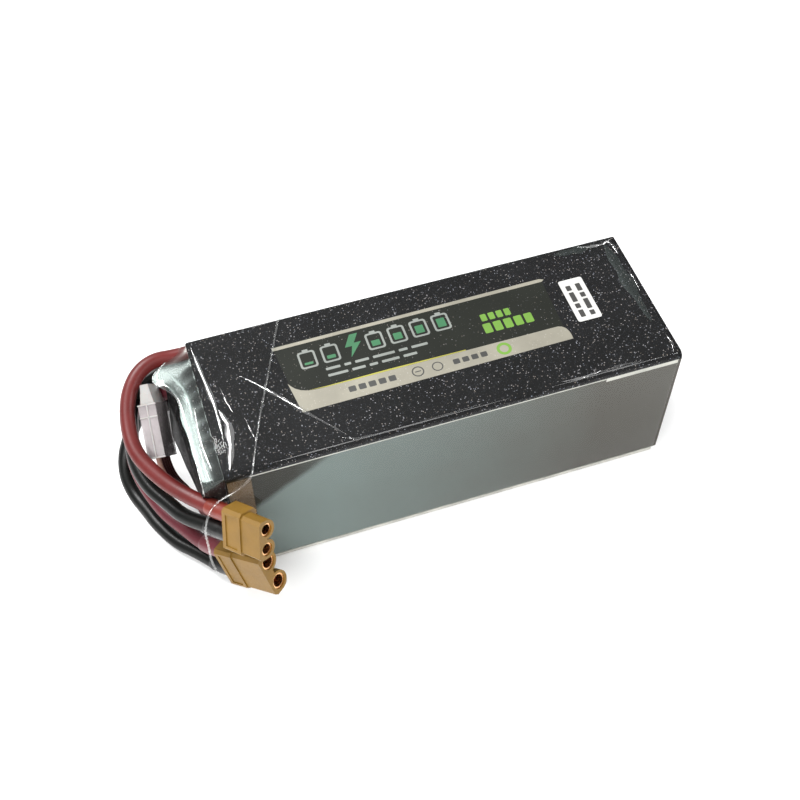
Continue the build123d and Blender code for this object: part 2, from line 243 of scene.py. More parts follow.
def scuff_group() -> bpy.types.NodeTree:
    """Sparse fine scratches. Returns: the group."""
    made, tree, source, out = group(
        Effect.SCUFFS, [("Scale", 45.0), ("Stretch", 9.0)], [("Mask", "NodeSocketFloat")]
    )
    place = tree.add("TexCoord").outputs["Object"]
    bend = tree.add("TexNoise", Vector=place, Scale=30.0, Detail=2.0)
    parts = tree.add("SeparateXYZ", Vector=place)
    waver = 0.02
    long = tree.add(
        "CombineXYZ",
        X=tree.math("ADD", parts.outputs[0], tree.share(bend.outputs[0], waver)),
        Y=tree.share(parts.outputs[1], source.outputs["Stretch"]),
        Z=tree.share(parts.outputs[2], source.outputs["Stretch"]),
    )
    lines = tree.add(
        "TexNoise", Vector=long.outputs[0], Scale=source.outputs["Scale"], Detail=6.0, Roughness=0.75
    )
    tree.put(out, "Mask", tree.spread(lines.outputs[0], 0.60, 0.72))
    return made


class Effects:
    """The shared node groups, each made once."""

    _made: dict[Effect, bpy.types.NodeTree] = {}
    _makers: dict[Effect, Callable[[], bpy.types.NodeTree]] = {
        Effect.GRAIN: grain_group, Effect.FLAKES: flake_group, Effect.SCUFFS: scuff_group,
    }

    @classmethod
    def use(cls, tree: Tree, effect: Effect, **values: float) -> bpy.types.Node:
        """Places a shared group in a material.

        Args:
            tree: the material's tree.
            effect: which effect.
            values: the group's inputs, with _ for spaces.

        Returns:
            The group node.
        """
        if effect not in cls._made:
            cls._made[effect] = cls._makers[effect]()
        node = tree.tree.nodes.new("ShaderNodeGroup")
        node.node_tree = cls._made[effect]
        for label, value in values.items():
            node.inputs[label.replace("_", " ")].default_value = value
        return node


# ---------------------------------------------------------------- finishes
@dataclass(frozen=True)
class Finish:
    """A surface finish; each kind of finish fills in its own nodes."""

    name: str
    colour: tuple[float, float, float]
    roughness: float = 0.5
    specular: float = 0.5

    def material(self) -> bpy.types.Material:
        """Makes the material, or finds it if it is made. Returns: the material."""
        label = f"{self.name}_finish"
        found = bpy.data.materials.get(label)
        if found:
            return found
        made = bpy.data.materials.new(label)
        made.use_nodes = True
        made.node_tree.nodes.clear()
        tree = Tree(made.node_tree)
        out = tree.add("OutputMaterial")
        tree.put(out, "Surface", self.surface(tree))
        return made

    def surface(self, tree: Tree) -> bpy.types.NodeSocket:
        """Builds the shader. Returns: the shader's output."""
        raise NotImplementedError

    def rgba(self, scale: float = 1.0) -> tuple[float, float, float, float]:
        """The colour, scaled. Returns: red, green, blue and alpha."""
        return (*(min(1.0, channel * scale) for channel in self.colour), 1.0)

    def bump(self, tree: Tree, height: object, strength: float, distance: float) -> bpy.types.NodeSocket:
        """A bump from a height. Returns: the normal."""
        node = tree.add("Bump", Strength=strength, Distance=distance, Height=height)
        return node.outputs[0]


@dataclass(frozen=True)
class Moulded(Finish):
    """Moulded or extruded plastic, rubber or foam with grain and slight shade changes."""

    grain: float = 900.0
    depth: float = 0.00005
    shade: float = 0.15
    coat: float = 0.0
    scatter: float = 0.0
    scuffs: float = 0.0

    def surface(self, tree: Tree) -> bpy.types.NodeSocket:
        """Builds the shader. Returns: the shader's output."""
        grain = Effects.use(tree, Effect.GRAIN, Scale=self.grain, Soft_Scale=110.0, Soft_Share=0.35)
        colour = tree.mix(grain.outputs["Mask"], self.rgba(1.0 - self.shade), self.rgba(1.0 + self.shade))
        rough = tree.spread(
            grain.outputs["Height"], 0.3, 0.7, self.roughness * 0.85, min(1.0, self.roughness * 1.2)
        )
        if self.scuffs:
            scuff = Effects.use(tree, Effect.SCUFFS, Scale=60.0, Stretch=4.0)
            colour = tree.mix(tree.share(scuff.outputs[0], self.scuffs), colour, self.rgba(1.7))
        shader = tree.add(
            "BsdfPrincipled", Base_Color=colour, Roughness=rough, Coat_Weight=self.coat, Coat_Roughness=0.12,
            Specular_IOR_Level=self.specular, Subsurface_Weight=self.scatter, Subsurface_Scale=0.002,
            Normal=self.bump(tree, grain.outputs["Height"], 0.5, self.depth),
        )
        return shader.outputs[0]


@dataclass(frozen=True)
class Metal(Finish):
    """Plated or foil metal."""

    grain: float = 700.0
    wrinkle: float = 0.0001

    def surface(self, tree: Tree) -> bpy.types.NodeSocket:
        """Builds the shader. Returns: the shader's output."""
        grain = Effects.use(tree, Effect.GRAIN, Scale=self.grain, Soft_Scale=140.0, Soft_Share=0.7)
        rough = tree.spread(grain.outputs["Height"], 0.3, 0.7, self.roughness * 0.7, self.roughness * 1.3)
        colour = tree.mix(grain.outputs["Mask"], self.rgba(0.82), self.rgba(1.05))
        shader = tree.add(
            "BsdfPrincipled", Base_Color=colour, Metallic=1.0, Roughness=rough,
            Normal=self.bump(tree, grain.outputs["Height"], 0.4, self.wrinkle),
        )
        return shader.outputs[0]


@dataclass(frozen=True)
class GlitterPrint(Finish):
    """Black card with fine glitter in its print, in large flakes over small ones."""

    amount: float = 0.11
    large_share: float = 0.36
    small_share: float = 0.06

    def surface(self, tree: Tree) -> bpy.types.NodeSocket:
        """Builds the shader. Returns: the shader's output."""
        coarse = Effects.use(tree, Effect.FLAKES, Scale=2100.0, Amount=self.amount)
        fine = Effects.use(tree, Effect.FLAKES, Scale=4200.0, Amount=self.amount * 1.8)
        grain = Effects.use(tree, Effect.GRAIN, Scale=600.0, Soft_Scale=45.0, Soft_Share=0.8)
        ground = tree.mix(grain.outputs["Mask"], self.rgba(0.7), self.rgba(1.3))
        small = tree.share(fine.outputs["Mask"], self.small_share)
        colour = tree.mix(small, ground, fine.outputs["Tint"])
        large = tree.share(coarse.outputs["Mask"], self.large_share)
        colour = tree.mix(large, colour, coarse.outputs["Tint"])
        rough = tree.spread(coarse.outputs["Mask"], 0.0, 1.0, self.roughness, 0.3)
        shader = tree.add(
            "BsdfPrincipled", Base_Color=colour, Roughness=rough, Specular_IOR_Level=self.specular,
            Normal=self.bump(tree, grain.outputs["Height"], 0.15, 0.00001),
        )
        return shader.outputs[0]


@dataclass(frozen=True)
class Ink(Finish):
    """Flat printed ink with a faint mottle, matt or metallic."""

    metallic: float = 0.0
    sparkle: float = 0.0

    def surface(self, tree: Tree) -> bpy.types.NodeSocket:
        """Builds the shader. Returns: the shader's output."""
        grain = Effects.use(tree, Effect.GRAIN, Scale=1300.0, Soft_Scale=70.0, Soft_Share=0.6)
        colour = tree.mix(grain.outputs["Mask"], self.rgba(0.88), self.rgba(1.08))
        if self.sparkle:
            flakes = Effects.use(tree, Effect.FLAKES, Scale=2600.0, Amount=self.sparkle)
            colour = tree.mix(tree.share(flakes.outputs["Mask"], 0.3), colour, flakes.outputs["Tint"])
        shader = tree.add(
            "BsdfPrincipled", Base_Color=colour, Roughness=self.roughness, Metallic=self.metallic,
            Specular_IOR_Level=self.specular,
            Normal=self.bump(tree, grain.outputs["Height"], 0.2, 0.00003),
        )
        return shader.outputs[0]


@dataclass(frozen=True)
class SidePlate(Finish):
    """Satin laminate of the sides, cooler towards the wire end and warmer towards the plain end.

    A painted dark reflection lies across its upper corner at the wire end, above a slanting line; it is
    shade painted into the colour. The places are in metres.
    """

    warm: tuple[float, float, float] = (0.062, 0.054, 0.045)
    # dark: the colour of the painted dark reflection, painted shade.
    dark: tuple[float, float, float] = (0.008, 0.007, 0.003)
    warm_from: float = -0.035
    warm_to: float = 0.07
    pale_foot: float = 0.045
    # Where the painted dark reflection starts, and how its slanting lower line runs.
    painted_reflection_start: float = -0.0634
    painted_reflection_foot: float = 0.0385
    painted_reflection_slope: float = 0.72

    def surface(self, tree: Tree) -> bpy.types.NodeSocket:
        """Builds the shader. Returns: the shader's output."""
        place = tree.add("TexCoord").outputs["Object"]
        parts = tree.add("SeparateXYZ", Vector=place)
        grain = Effects.use(tree, Effect.GRAIN, Scale=160.0, Soft_Scale=60.0, Soft_Share=0.6)
        along, height = parts.outputs[0], parts.outputs[2]
        speck = tree.spread(grain.outputs["Height"], 0.35, 0.65, 0.0, 0.3)
        colour = tree.mix(speck, self.rgba(), self.rgba(1.3))
        colour = tree.mix(tree.spread(height, 0.0, self.pale_foot, 0.35, 0.0), colour, self.rgba(1.35))
        uneven = tree.math("ADD", along, tree.share(grain.outputs["Mask"], 0.012))
        shift = tree.spread(uneven, self.warm_from, self.warm_to)
        colour = tree.mix(tree.share(shift, 0.95), colour, (*self.warm, 1.0))
        # Painted dark reflection: darker above a slanting line, fading away from the wire end.
        rise = tree.share(tree.math("ADD", along, -self.painted_reflection_start), self.painted_reflection_slope)
        line = tree.math("ADD", self.painted_reflection_foot, rise)
        uneven = tree.math("ADD", height, tree.share(grain.outputs["Height"], 0.004))
        above = tree.spread(tree.math("SUBTRACT", uneven, line), 0.0005, 0.0045)
        painted_reflection_fade = tree.spread(along, -0.052, -0.018, 1.0, 0.12)
        colour = tree.mix(tree.share(above, painted_reflection_fade), colour, (*self.dark, 1.0))
        shader = tree.add(
            "BsdfPrincipled", Base_Color=colour, Roughness=self.roughness, Metallic=0.35,
            Specular_IOR_Level=self.specular,
            Normal=self.bump(tree, grain.outputs["Height"], 0.2, 0.000008),
        )
        return shader.outputs[0]


@dataclass(frozen=True)
class Clear(Finish):
    """Clear film or plastic: what is behind it shows through a thin glossy skin.

    The skin reflects little face on and more at a slant, alike on both of its faces.
    """

    veil: float = 0.04
    ripple: float = 0.0003
    ripple_scale: float = 70.0
    gain: float = 1.0

    def surface(self, tree: Tree) -> bpy.types.NodeSocket:
        """Builds the shader. Returns: the shader's output."""
        grain = Effects.use(
            tree, Effect.GRAIN, Scale=self.ripple_scale, Soft_Scale=self.ripple_scale * 0.6, Soft_Share=0.9
        )
        normal = self.bump(tree, grain.outputs["Height"], 0.6, self.ripple)
        gloss = tree.add(
            "BsdfPrincipled", Base_Color=self.rgba(), Metallic=1.0, Roughness=self.roughness, Normal=normal
        )
        through = tree.add("BsdfTransparent", Color=(0.97, 0.98, 0.975, 1.0))
        facing = tree.add("LayerWeight", Blend=0.5, Normal=normal).outputs["Facing"]
        face_on = 0.04
        slant = tree.share(1.0 - face_on, tree.math("POWER", facing, 5.0))
        edge = tree.math("ADD", face_on, slant)
        weight = tree.math("ADD", tree.share(edge, self.gain), self.veil)
        blend = tree.add("MixShader", Fac=weight)
        tree.put(blend, 1, through.outputs[0])
        tree.put(blend, 2, gloss.outputs[0])
        return blend.outputs[0]


@dataclass(frozen=True)
class Milky(Finish):
    """Translucent moulded plastic or tape, part see-through."""

    cover: float = 0.6

    def surface(self, tree: Tree) -> bpy.types.NodeSocket:
        """Builds the shader. Returns: the shader's output."""
        grain = Effects.use(tree, Effect.GRAIN, Scale=800.0, Soft_Scale=120.0, Soft_Share=0.6)
        colour = tree.mix(grain.outputs["Mask"], self.rgba(0.85), self.rgba(1.1))
        body = tree.add(
            "BsdfPrincipled", Base_Color=colour, Roughness=self.roughness,
            Normal=self.bump(tree, grain.outputs["Height"], 0.4, 0.0001),
        )
        through = tree.add("BsdfTransparent")
        weight = tree.spread(grain.outputs["Mask"], 0.0, 1.0, self.cover * 0.9, min(1.0, self.cover * 1.1))
        blend = tree.add("MixShader", Fac=weight)
        tree.put(blend, 1, through.outputs[0])
        tree.put(blend, 2, body.outputs[0])
        return blend.outputs[0]


GLITTER = GlitterPrint("glitter_black", (0.005, 0.005, 0.0055), 0.6, 0.1)
PANEL_INK = Ink("panel_ink", (0.012, 0.013, 0.010), 0.5, 0.12, sparkle=0.02)
SILVER_INK = Ink("silver_ink", (0.27, 0.25, 0.205), 0.42, 0.3, metallic=0.15, sparkle=0.05)
DARK_INK = Ink("dark_ink", (0.035, 0.034, 0.032), 0.5)
GREEN_INK = Ink("green_ink", (0.035, 0.15, 0.065), 0.45, metallic=0.2)
LIME_INK = Ink("lime_ink", (0.12, 0.25, 0.03), 0.45)
GOLD_INK = Ink("gold_ink", (0.32, 0.29, 0.04), 0.45)
PALE_INK = Ink("pale_ink", (0.20, 0.21, 0.195), 0.5)
STICKER = Ink("sticker_paper", (0.50, 0.50, 0.48), 0.6)
CARD_EDGE = Moulded("card_edge", (0.44, 0.43, 0.39), 0.6, grain=1500.0, shade=0.2)
SATIN_SIDE = SidePlate("satin_side", (0.120, 0.150, 0.142), 0.5, 0.25)
FILM = Clear("clear_film", (0.95, 0.97, 0.96), 0.06, veil=0.0, ripple=0.00022, gain=0.4)
MOUTH_FILM = Clear(
    "mouth_film", (0.42, 0.48, 0.46), 0.2, veil=0.02, ripple=0.0006, ripple_scale=45.0, gain=0.9
)
CREASE_FILM = Clear(
    "crease_film", (0.9, 0.9, 0.9), 0.14, veil=0.14, ripple=0.0005, ripple_scale=160.0, gain=1.2
)
STREAK_FILM = Clear("streak_film", (1.0, 1.0, 1.0), 0.2, veil=0.4, ripple=0.0006, ripple_scale=90.0)
SHEEN_FILM = Clear("sheen_film", (0.30, 0.36, 0.34), 0.3, veil=0.15, ripple=0.0006)
TAPE = Milky("corner_tape_film", (0.15, 0.10, 0.055), 0.4, cover=0.6)
FOAM = Moulded("end_foam", (0.006, 0.006, 0.006), 0.75, 0.2, grain=260.0, depth=0.00003, shade=0.3)
# Black glitter of the end flap, which partly stands in for painted shade inside the film's mouth.
FLAP_AND_SHADE = GlitterPrint("flap_black_and_shade", (0.005, 0.005, 0.005), 0.55, 0.14, amount=0.08)
BOARD = Moulded("fibre_board", (0.02, 0.03, 0.024), 0.55)
FOIL = Metal("pouch_foil", (0.60, 0.61, 0.62), 0.32, wrinkle=0.0004)
NICKEL = Metal("nickel_strip", (0.62, 0.60, 0.57), 0.35)
COPPER = Metal("tinned_copper", (0.72, 0.45, 0.32), 0.35)
GOLD = Metal("gold_plating", (0.75, 0.42, 0.20), 0.25, grain=1200.0, wrinkle=0.00003)
NYLON = Moulded(
    "tan_nylon", (0.185, 0.100, 0.014), 0.45, 0.35, grain=1100.0, depth=0.00004, shade=0.1, scuffs=0.2
)
RED_SILICONE = Moulded("red_silicone", (0.100, 0.009, 0.008), 0.42, 0.4, grain=1400.0, shade=0.12)
CRIMSON_SILICONE = Moulded("crimson_silicone", (0.095, 0.010, 0.017), 0.45, 0.4, grain=1400.0, shade=0.12)
BLACK_SILICONE = Moulded("black_silicone", (0.003, 0.0035, 0.003), 0.36, 0.25, grain=1400.0, shade=0.2)
RED_SLEEVE = Moulded("red_sleeve", (0.150, 0.020, 0.012), 0.35, grain=700.0, shade=0.12, coat=0.2)
CRIMSON_SLEEVE = Moulded("crimson_sleeve", (0.120, 0.016, 0.024), 0.35, grain=700.0, shade=0.12, coat=0.2)
BLACK_SLEEVE = Moulded("black_sleeve", (0.006, 0.006, 0.006), 0.33, 0.35, grain=700.0, shade=0.2, coat=0.2)
PLUG_NYLON = Moulded("balance_nylon", (0.32, 0.31, 0.30), 0.35, shade=0.06, scatter=0.15)
GUARD = Milky("guard_plastic", (0.33, 0.295, 0.30), 0.2, cover=0.62)
PINK_WIRE = Moulded("pink_wire", (0.45, 0.25, 0.20), 0.4, shade=0.08)
MAROON_WIRE = Moulded("maroon_wire", (0.085, 0.018, 0.018), 0.4, shade=0.15)
ELASTIC = Clear(
    "clear_elastic", (1.0, 1.0, 1.0), 0.15, veil=0.07, ripple=0.0008, ripple_scale=160.0, gain=0.9
)


# ---------------------------------------------------------------- modelling helpers
def clear_selection() -> None:
    """Leaves edit mode and deselects every object."""
    if bpy.context.object and bpy.context.object.mode != "OBJECT":
        bpy.ops.object.mode_set(mode="OBJECT")
    bpy.ops.object.select_all(action="DESELECT")


def hold(piece: bpy.types.Object) -> bpy.types.Object:
    """Makes a piece the only selected and active object. Returns: the piece."""
    clear_selection()
    piece.select_set(True)
    bpy.context.view_layer.objects.active = piece
    return piece


def rest_in_place(piece: bpy.types.Object) -> bpy.types.Object:
    """Puts a piece's place into its mesh. Returns: the piece."""
    hold(piece)
    bpy.ops.object.transform_apply(location=True, rotation=True, scale=True)
    return piece


def new_block(name: str, low: Point, high: Point) -> bpy.types.Object:
    """A block between two corners.

    Args:
        name: the piece's name.
        low: its lowest corner in millimetres.
        high: its highest corner in millimetres.

    Returns:
        The piece, with its place in its mesh.
    """
    clear_selection()
    middle = [(a + b) / 2 * MM for a, b in zip(low, high)]
    bpy.ops.mesh.primitive_cube_add(size=1.0, location=middle)
    piece = bpy.context.object
    piece.name = name
    piece.scale = [(b - a) * MM for a, b in zip(low, high)]
    return rest_in_place(piece)


def pick(piece: bpy.types.Object, kind: Part, test: Callable[[object], bool]) -> None:
    """Selects parts of a piece in edit mode by a test on each.

    Args:
        piece: the piece, which is put in edit mode.
        kind: faces or edges.
        test: says whether a face or edge is wanted.
    """
    hold(piece)
    bpy.ops.object.mode_set(mode="EDIT")
    bpy.ops.mesh.select_mode(type=kind.value)
    bpy.ops.mesh.select_all(action="DESELECT")
    shape = bmesh.from_edit_mesh(piece.data)
    for part in shape.faces if kind is Part.FACES else shape.edges:
        if test(part):
            part.select_set(True)
    shape.select_flush_mode()
    bmesh.update_edit_mesh(piece.data)


def leave_edit() -> None:
    """Goes back to object mode."""
    bpy.ops.object.mode_set(mode="OBJECT")


def edge_along(edge: bmesh.types.BMEdge, axis: int) -> bool:
    """Whether an edge runs along one axis. Returns: True if it does."""
    run = edge.verts[1].co - edge.verts[0].co
    return abs(run[axis]) > 0.99 * run.length


def modify(piece: bpy.types.Object, kind: str, **settings: object) -> bpy.types.Object:
    """Adds a modifier and applies it. Returns: the piece."""
    hold(piece)
    modifier = piece.modifiers.new(kind.lower(), kind)
    for name, value in settings.items():
        setattr(modifier, name, value)
    bpy.ops.object.modifier_apply(modifier=modifier.name)
    return piece


def smooth(piece: bpy.types.Object, angle: float = 40.0) -> bpy.types.Object:
    """Shades a piece smooth up to an angle. Returns: the piece."""
    hold(piece)
    bpy.ops.object.shade_smooth_by_angle(angle=math.radians(angle))
    return piece


def dress(piece: bpy.types.Object, finish: Finish) -> bpy.types.Object:
    """Gives a piece its finish and lets it ride on the pack.

    Args:
        piece: the piece.
        finish: its finish.

    Returns:
        The piece.
    """
    piece.data.materials.clear()
    piece.data.materials.append(finish.material())
    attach(piece, "root")
    return piece


def redress(node: str, finish: Finish) -> None:
    """Gives a CAD node a better material."""
    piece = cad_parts[node]
    for slot in piece.material_slots:
        slot.material = finish.material()
    if not piece.material_slots:
        piece.data.materials.append(finish.material())


def to_mesh(piece: bpy.types.Object) -> bpy.types.Object:
    """Turns a curve into a mesh. Returns: the piece."""
    hold(piece)
    bpy.ops.object.convert(target="MESH")
    return bpy.context.object


def new_sheet(
    name: str, rows: int, columns: int, place: Callable[[float, float], Vector]
) -> bpy.types.Object:
    """A grid whose points are set one by one.

    Args:
        name: the piece's name.
        rows: how many steps it has along its second share.
        columns: how many steps it has along its first share.
        place: gives a point in millimetres for two shares from 0 to 1.

    Returns:
        The piece.
    """
    clear_selection()
    bpy.ops.mesh.primitive_grid_add(x_subdivisions=rows, y_subdivisions=columns, size=1.0)
    piece = bpy.context.object
    piece.name = name
    for vertex in piece.data.vertices:
        vertex.co = place(vertex.co.y + 0.5, vertex.co.x + 0.5) * MM
    return piece


def thicken(piece: bpy.types.Object, thickness: float, levels: int = 0) -> bpy.types.Object:
    """Makes a sheet solid, to both sides, and shades it smooth.

    Args:
        piece: the sheet.
        thickness: its thickness in millimetres.
        levels: how often it is subdivided.

    Returns:
        The piece.
    """
    modify(piece, "SOLIDIFY", thickness=thickness * MM, offset=0.0)
    if levels:
        modify(piece, "SUBSURF", levels=levels, render_levels=levels)
    pick(piece, Part.FACES, lambda face: True)
    bpy.ops.mesh.normals_make_consistent(inside=False)
    leave_edit()
    return smooth(piece, 60.0)


def round_curve(
    name: str, points: Sequence[Sequence[float]], radius: float, resolution: int,
    line: Line = Line.STRAIGHT, widths: Optional[Sequence[float]] = None,
) -> bpy.types.Object:
    """A curve with a round section and closed ends.

    Args:
        name: the piece's name.
        points: its points in metres.
        radius: its radius in metres.
        resolution: how finely its section is rounded.
        line: how it runs between its points.
        widths: each point's share of the radius.

    Returns:
        The piece, still a curve.
    """
    clear_selection()
    curve = bpy.data.curves.new(name, "CURVE")
    curve.dimensions, curve.use_fill_caps = "3D", True
    curve.bevel_depth, curve.bevel_resolution = radius, resolution
    spline = curve.splines.new(line.value)
    spline.points.add(len(points) - 1)
    for index, (point, place) in enumerate(zip(spline.points, points)):
        point.co = (*place, 1.0)
        point.radius = widths[index] if widths else 1.0
    if line is Line.SMOOTH:
        curve.resolution_u = 10
        spline.order_u, spline.use_endpoint_u = 3, True
    piece = bpy.data.objects.new(name, curve)
    bpy.context.collection.objects.link(piece)
    return piece


def flat_shapes(
    name: str, outlines: Sequence[Sequence[Flat]], z: float, thickness: float = 0.01
) -> bpy.types.Object:
    """Thin flat shapes at one height, from outlines seen from above.

    Args:
        name: the piece's name.
        outlines: closed outlines in millimetres; one inside another is a hole.
        z: the height in millimetres.
        thickness: the shapes' thickness in millimetres.

    Returns:
        The piece.
    """
    clear_selection()
    curve = bpy.data.curves.new(name, "CURVE")
    curve.dimensions, curve.fill_mode = "2D", "BOTH"
    curve.extrude = thickness / 2 * MM
    for outline in outlines:
        spline = curve.splines.new("POLY")
        spline.points.add(len(outline) - 1)
        for point, (x, y) in zip(spline.points, outline):
            point.co = (x * MM, y * MM, 0.0, 1.0)
        spline.use_cyclic_u = True
    piece = bpy.data.objects.new(name, curve)
    bpy.context.collection.objects.link(piece)
    piece.location.z = z * MM
    return rest_in_place(to_mesh(piece))


def ring(x: float, y: float, radius: float, sides: int = 28) -> list[Flat]:
    """A circle's outline. Returns: its points."""
    turns = [2 * math.pi * k / sides for k in range(sides)]
    return [(x + radius * math.cos(turn), y + radius * math.sin(turn)) for turn in turns]


def rounded(x: Flat, y: Flat, radius: float, steps: int = 5) -> list[Flat]:
    """A rectangle's outline with round corners. Returns: its points."""
    points: list[Flat] = []
    corners = ((x[1], y[1], 0), (x[0], y[1], 90), (x[0], y[0], 180), (x[1], y[0], 270))
    for corner_x, corner_y, start in corners:
        centre_x = corner_x - math.copysign(radius, corner_x - (x[0] + x[1]) / 2)
        centre_y = corner_y - math.copysign(radius, corner_y - (y[0] + y[1]) / 2)
        for step in range(steps + 1):
            angle = math.radians(start + 90 * step / steps)
            points.append((centre_x + radius * math.cos(angle), centre_y + radius * math.sin(angle)))
    return points


# ---------------------------------------------------------------- sub-assemblies
@dataclass
class Core:
    """What lies inside the film: cells, pads, connections, end pieces and side plates."""

    cells: int = 4

    def build(self) -> None:
        """Dresses the CAD nodes inside the pack."""
        for index in range(1, self.cells + 1):
            redress(f"cell_{index}", FOIL)
            redress(f"cell_tabs_{index}", NICKEL)
        for index in range(1, self.cells):
            redress(f"cell_pad_{index}", FOAM)
            redress(f"series_link_{index}", NICKEL)
        for node, finish in (
            ("negative_bar", COPPER), ("positive_bar", COPPER), ("lead_ends", COPPER),
            ("wire_end_block", FOAM), ("plain_end_pad", FOAM), ("balance_board", BOARD),
            ("near_side_plate", SATIN_SIDE), ("far_side_plate", SATIN_SIDE), ("bottom_card", CARD_EDGE),
        ):
            redress(node, finish)


@dataclass
class EndFlapAndShade:
    """The black flap under the film's mouth, which hangs down in front of the wire end: partly the black
    label's end, partly a dark sheet that stands in for the shade inside the mouth (painted shade).
    """

    near_y: float = -28.1
    far_y: float = 23.4
    drop_end: float = 0.82
    tuck_width: float = 0.05
    thickness: float = 0.3
    fold_top: Flat = (-75.1, 56.6)
    fold_depth: float = 7.2
    fold_drop: float = 13.0
    rows: int = 20
    columns: int = 26
    near_profile: Sequence[Flat] = (
        (-75.0, 57.0), (-79.0, 56.2), (-82.0, 54.8), (-82.8, 52.6), (-82.8, 49.0), (-82.0, 40.0),
    )
    far_profile: Sequence[Flat] = (
        (-75.0, 57.2), (-79.5, 56.4), (-83.2, 54.2), (-85.4, 48.0), (-85.9, 38.0), (-88.3, 28.0),
    )
    short_profile: Sequence[Flat] = (
        (-75.0, 57.2), (-79.0, 56.6), (-82.0, 55.6), (-84.0, 54.4), (-85.0, 53.6), (-85.6, 52.8),
    )

    def place(self, across: float, down: float) -> Vector:
        """A point of the flap.

        Args:
            across: 0 at its near end to 1 at its far end.
            down: 0 at the pack to 1 at its free edge.

        Returns:
            The point in millimetres.
        """
        tuck = min(1.0, max(0.0, (across - self.drop_end) / self.tuck_width))
        far = [
            tuple(a + (b - a) * tuck for a, b in zip(*pair))
            for pair in zip(self.far_profile, self.short_profile)
        ]
        spans = len(self.near_profile) - 1
        step = min(int(down * spans), spans - 1)
        share = down * spans - step
        ends = []
        for line in (self.near_profile, far):
            ends.append([a + (b - a) * share for a, b in zip(line[step], line[step + 1])])
        lean = across ** 0.8
        x, z = (a + (b - a) * lean for a, b in zip(*ends))
        x += 0.25 * math.sin(9.0 * across + 5.0 * down) * down * (1 - down) * 4
        z += 0.5 * math.sin(23.0 * across) * down ** 3
        return Vector((x, self.near_y + (self.far_y - self.near_y) * across, z))

    def fold(self, across: float, down: float) -> Vector:
        """A point of the fold that closes the flap's near end.

        Args:
            across: 0 at the pack to 1 at the flap.
            down: 0 at the top to 1 at the foot.

        Returns:
            The point in millimetres.
        """
        x, z = self.fold_top
        x -= self.fold_depth * across
        z -= (1.6 + 0.4 * down) * across + (self.fold_drop + 3.0 * across) * down
        return Vector((x, self.near_y + 0.25 * math.sin(5.0 * across + 4.0 * down), z))

    def sheet(self, name: str, place: Callable[[float, float], Vector]) -> bpy.types.Object:
        """One thin black sheet.

        Args:
            name: the piece's name.
            place: gives a point in millimetres for two shares from 0 to 1.

        Returns:
            The piece.
        """
        piece = thicken(new_sheet(name, self.rows, self.columns, place), self.thickness)
        return dress(piece, FLAP_AND_SHADE)

    def build(self) -> None:
        """Models the flap, which partly stands in for painted shade, and the fold at its near end."""
        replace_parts(self.sheet("end_flap_and_shade_sheet", self.place), "wire_end_flap")
        self.sheet("end_flap_fold", self.fold)


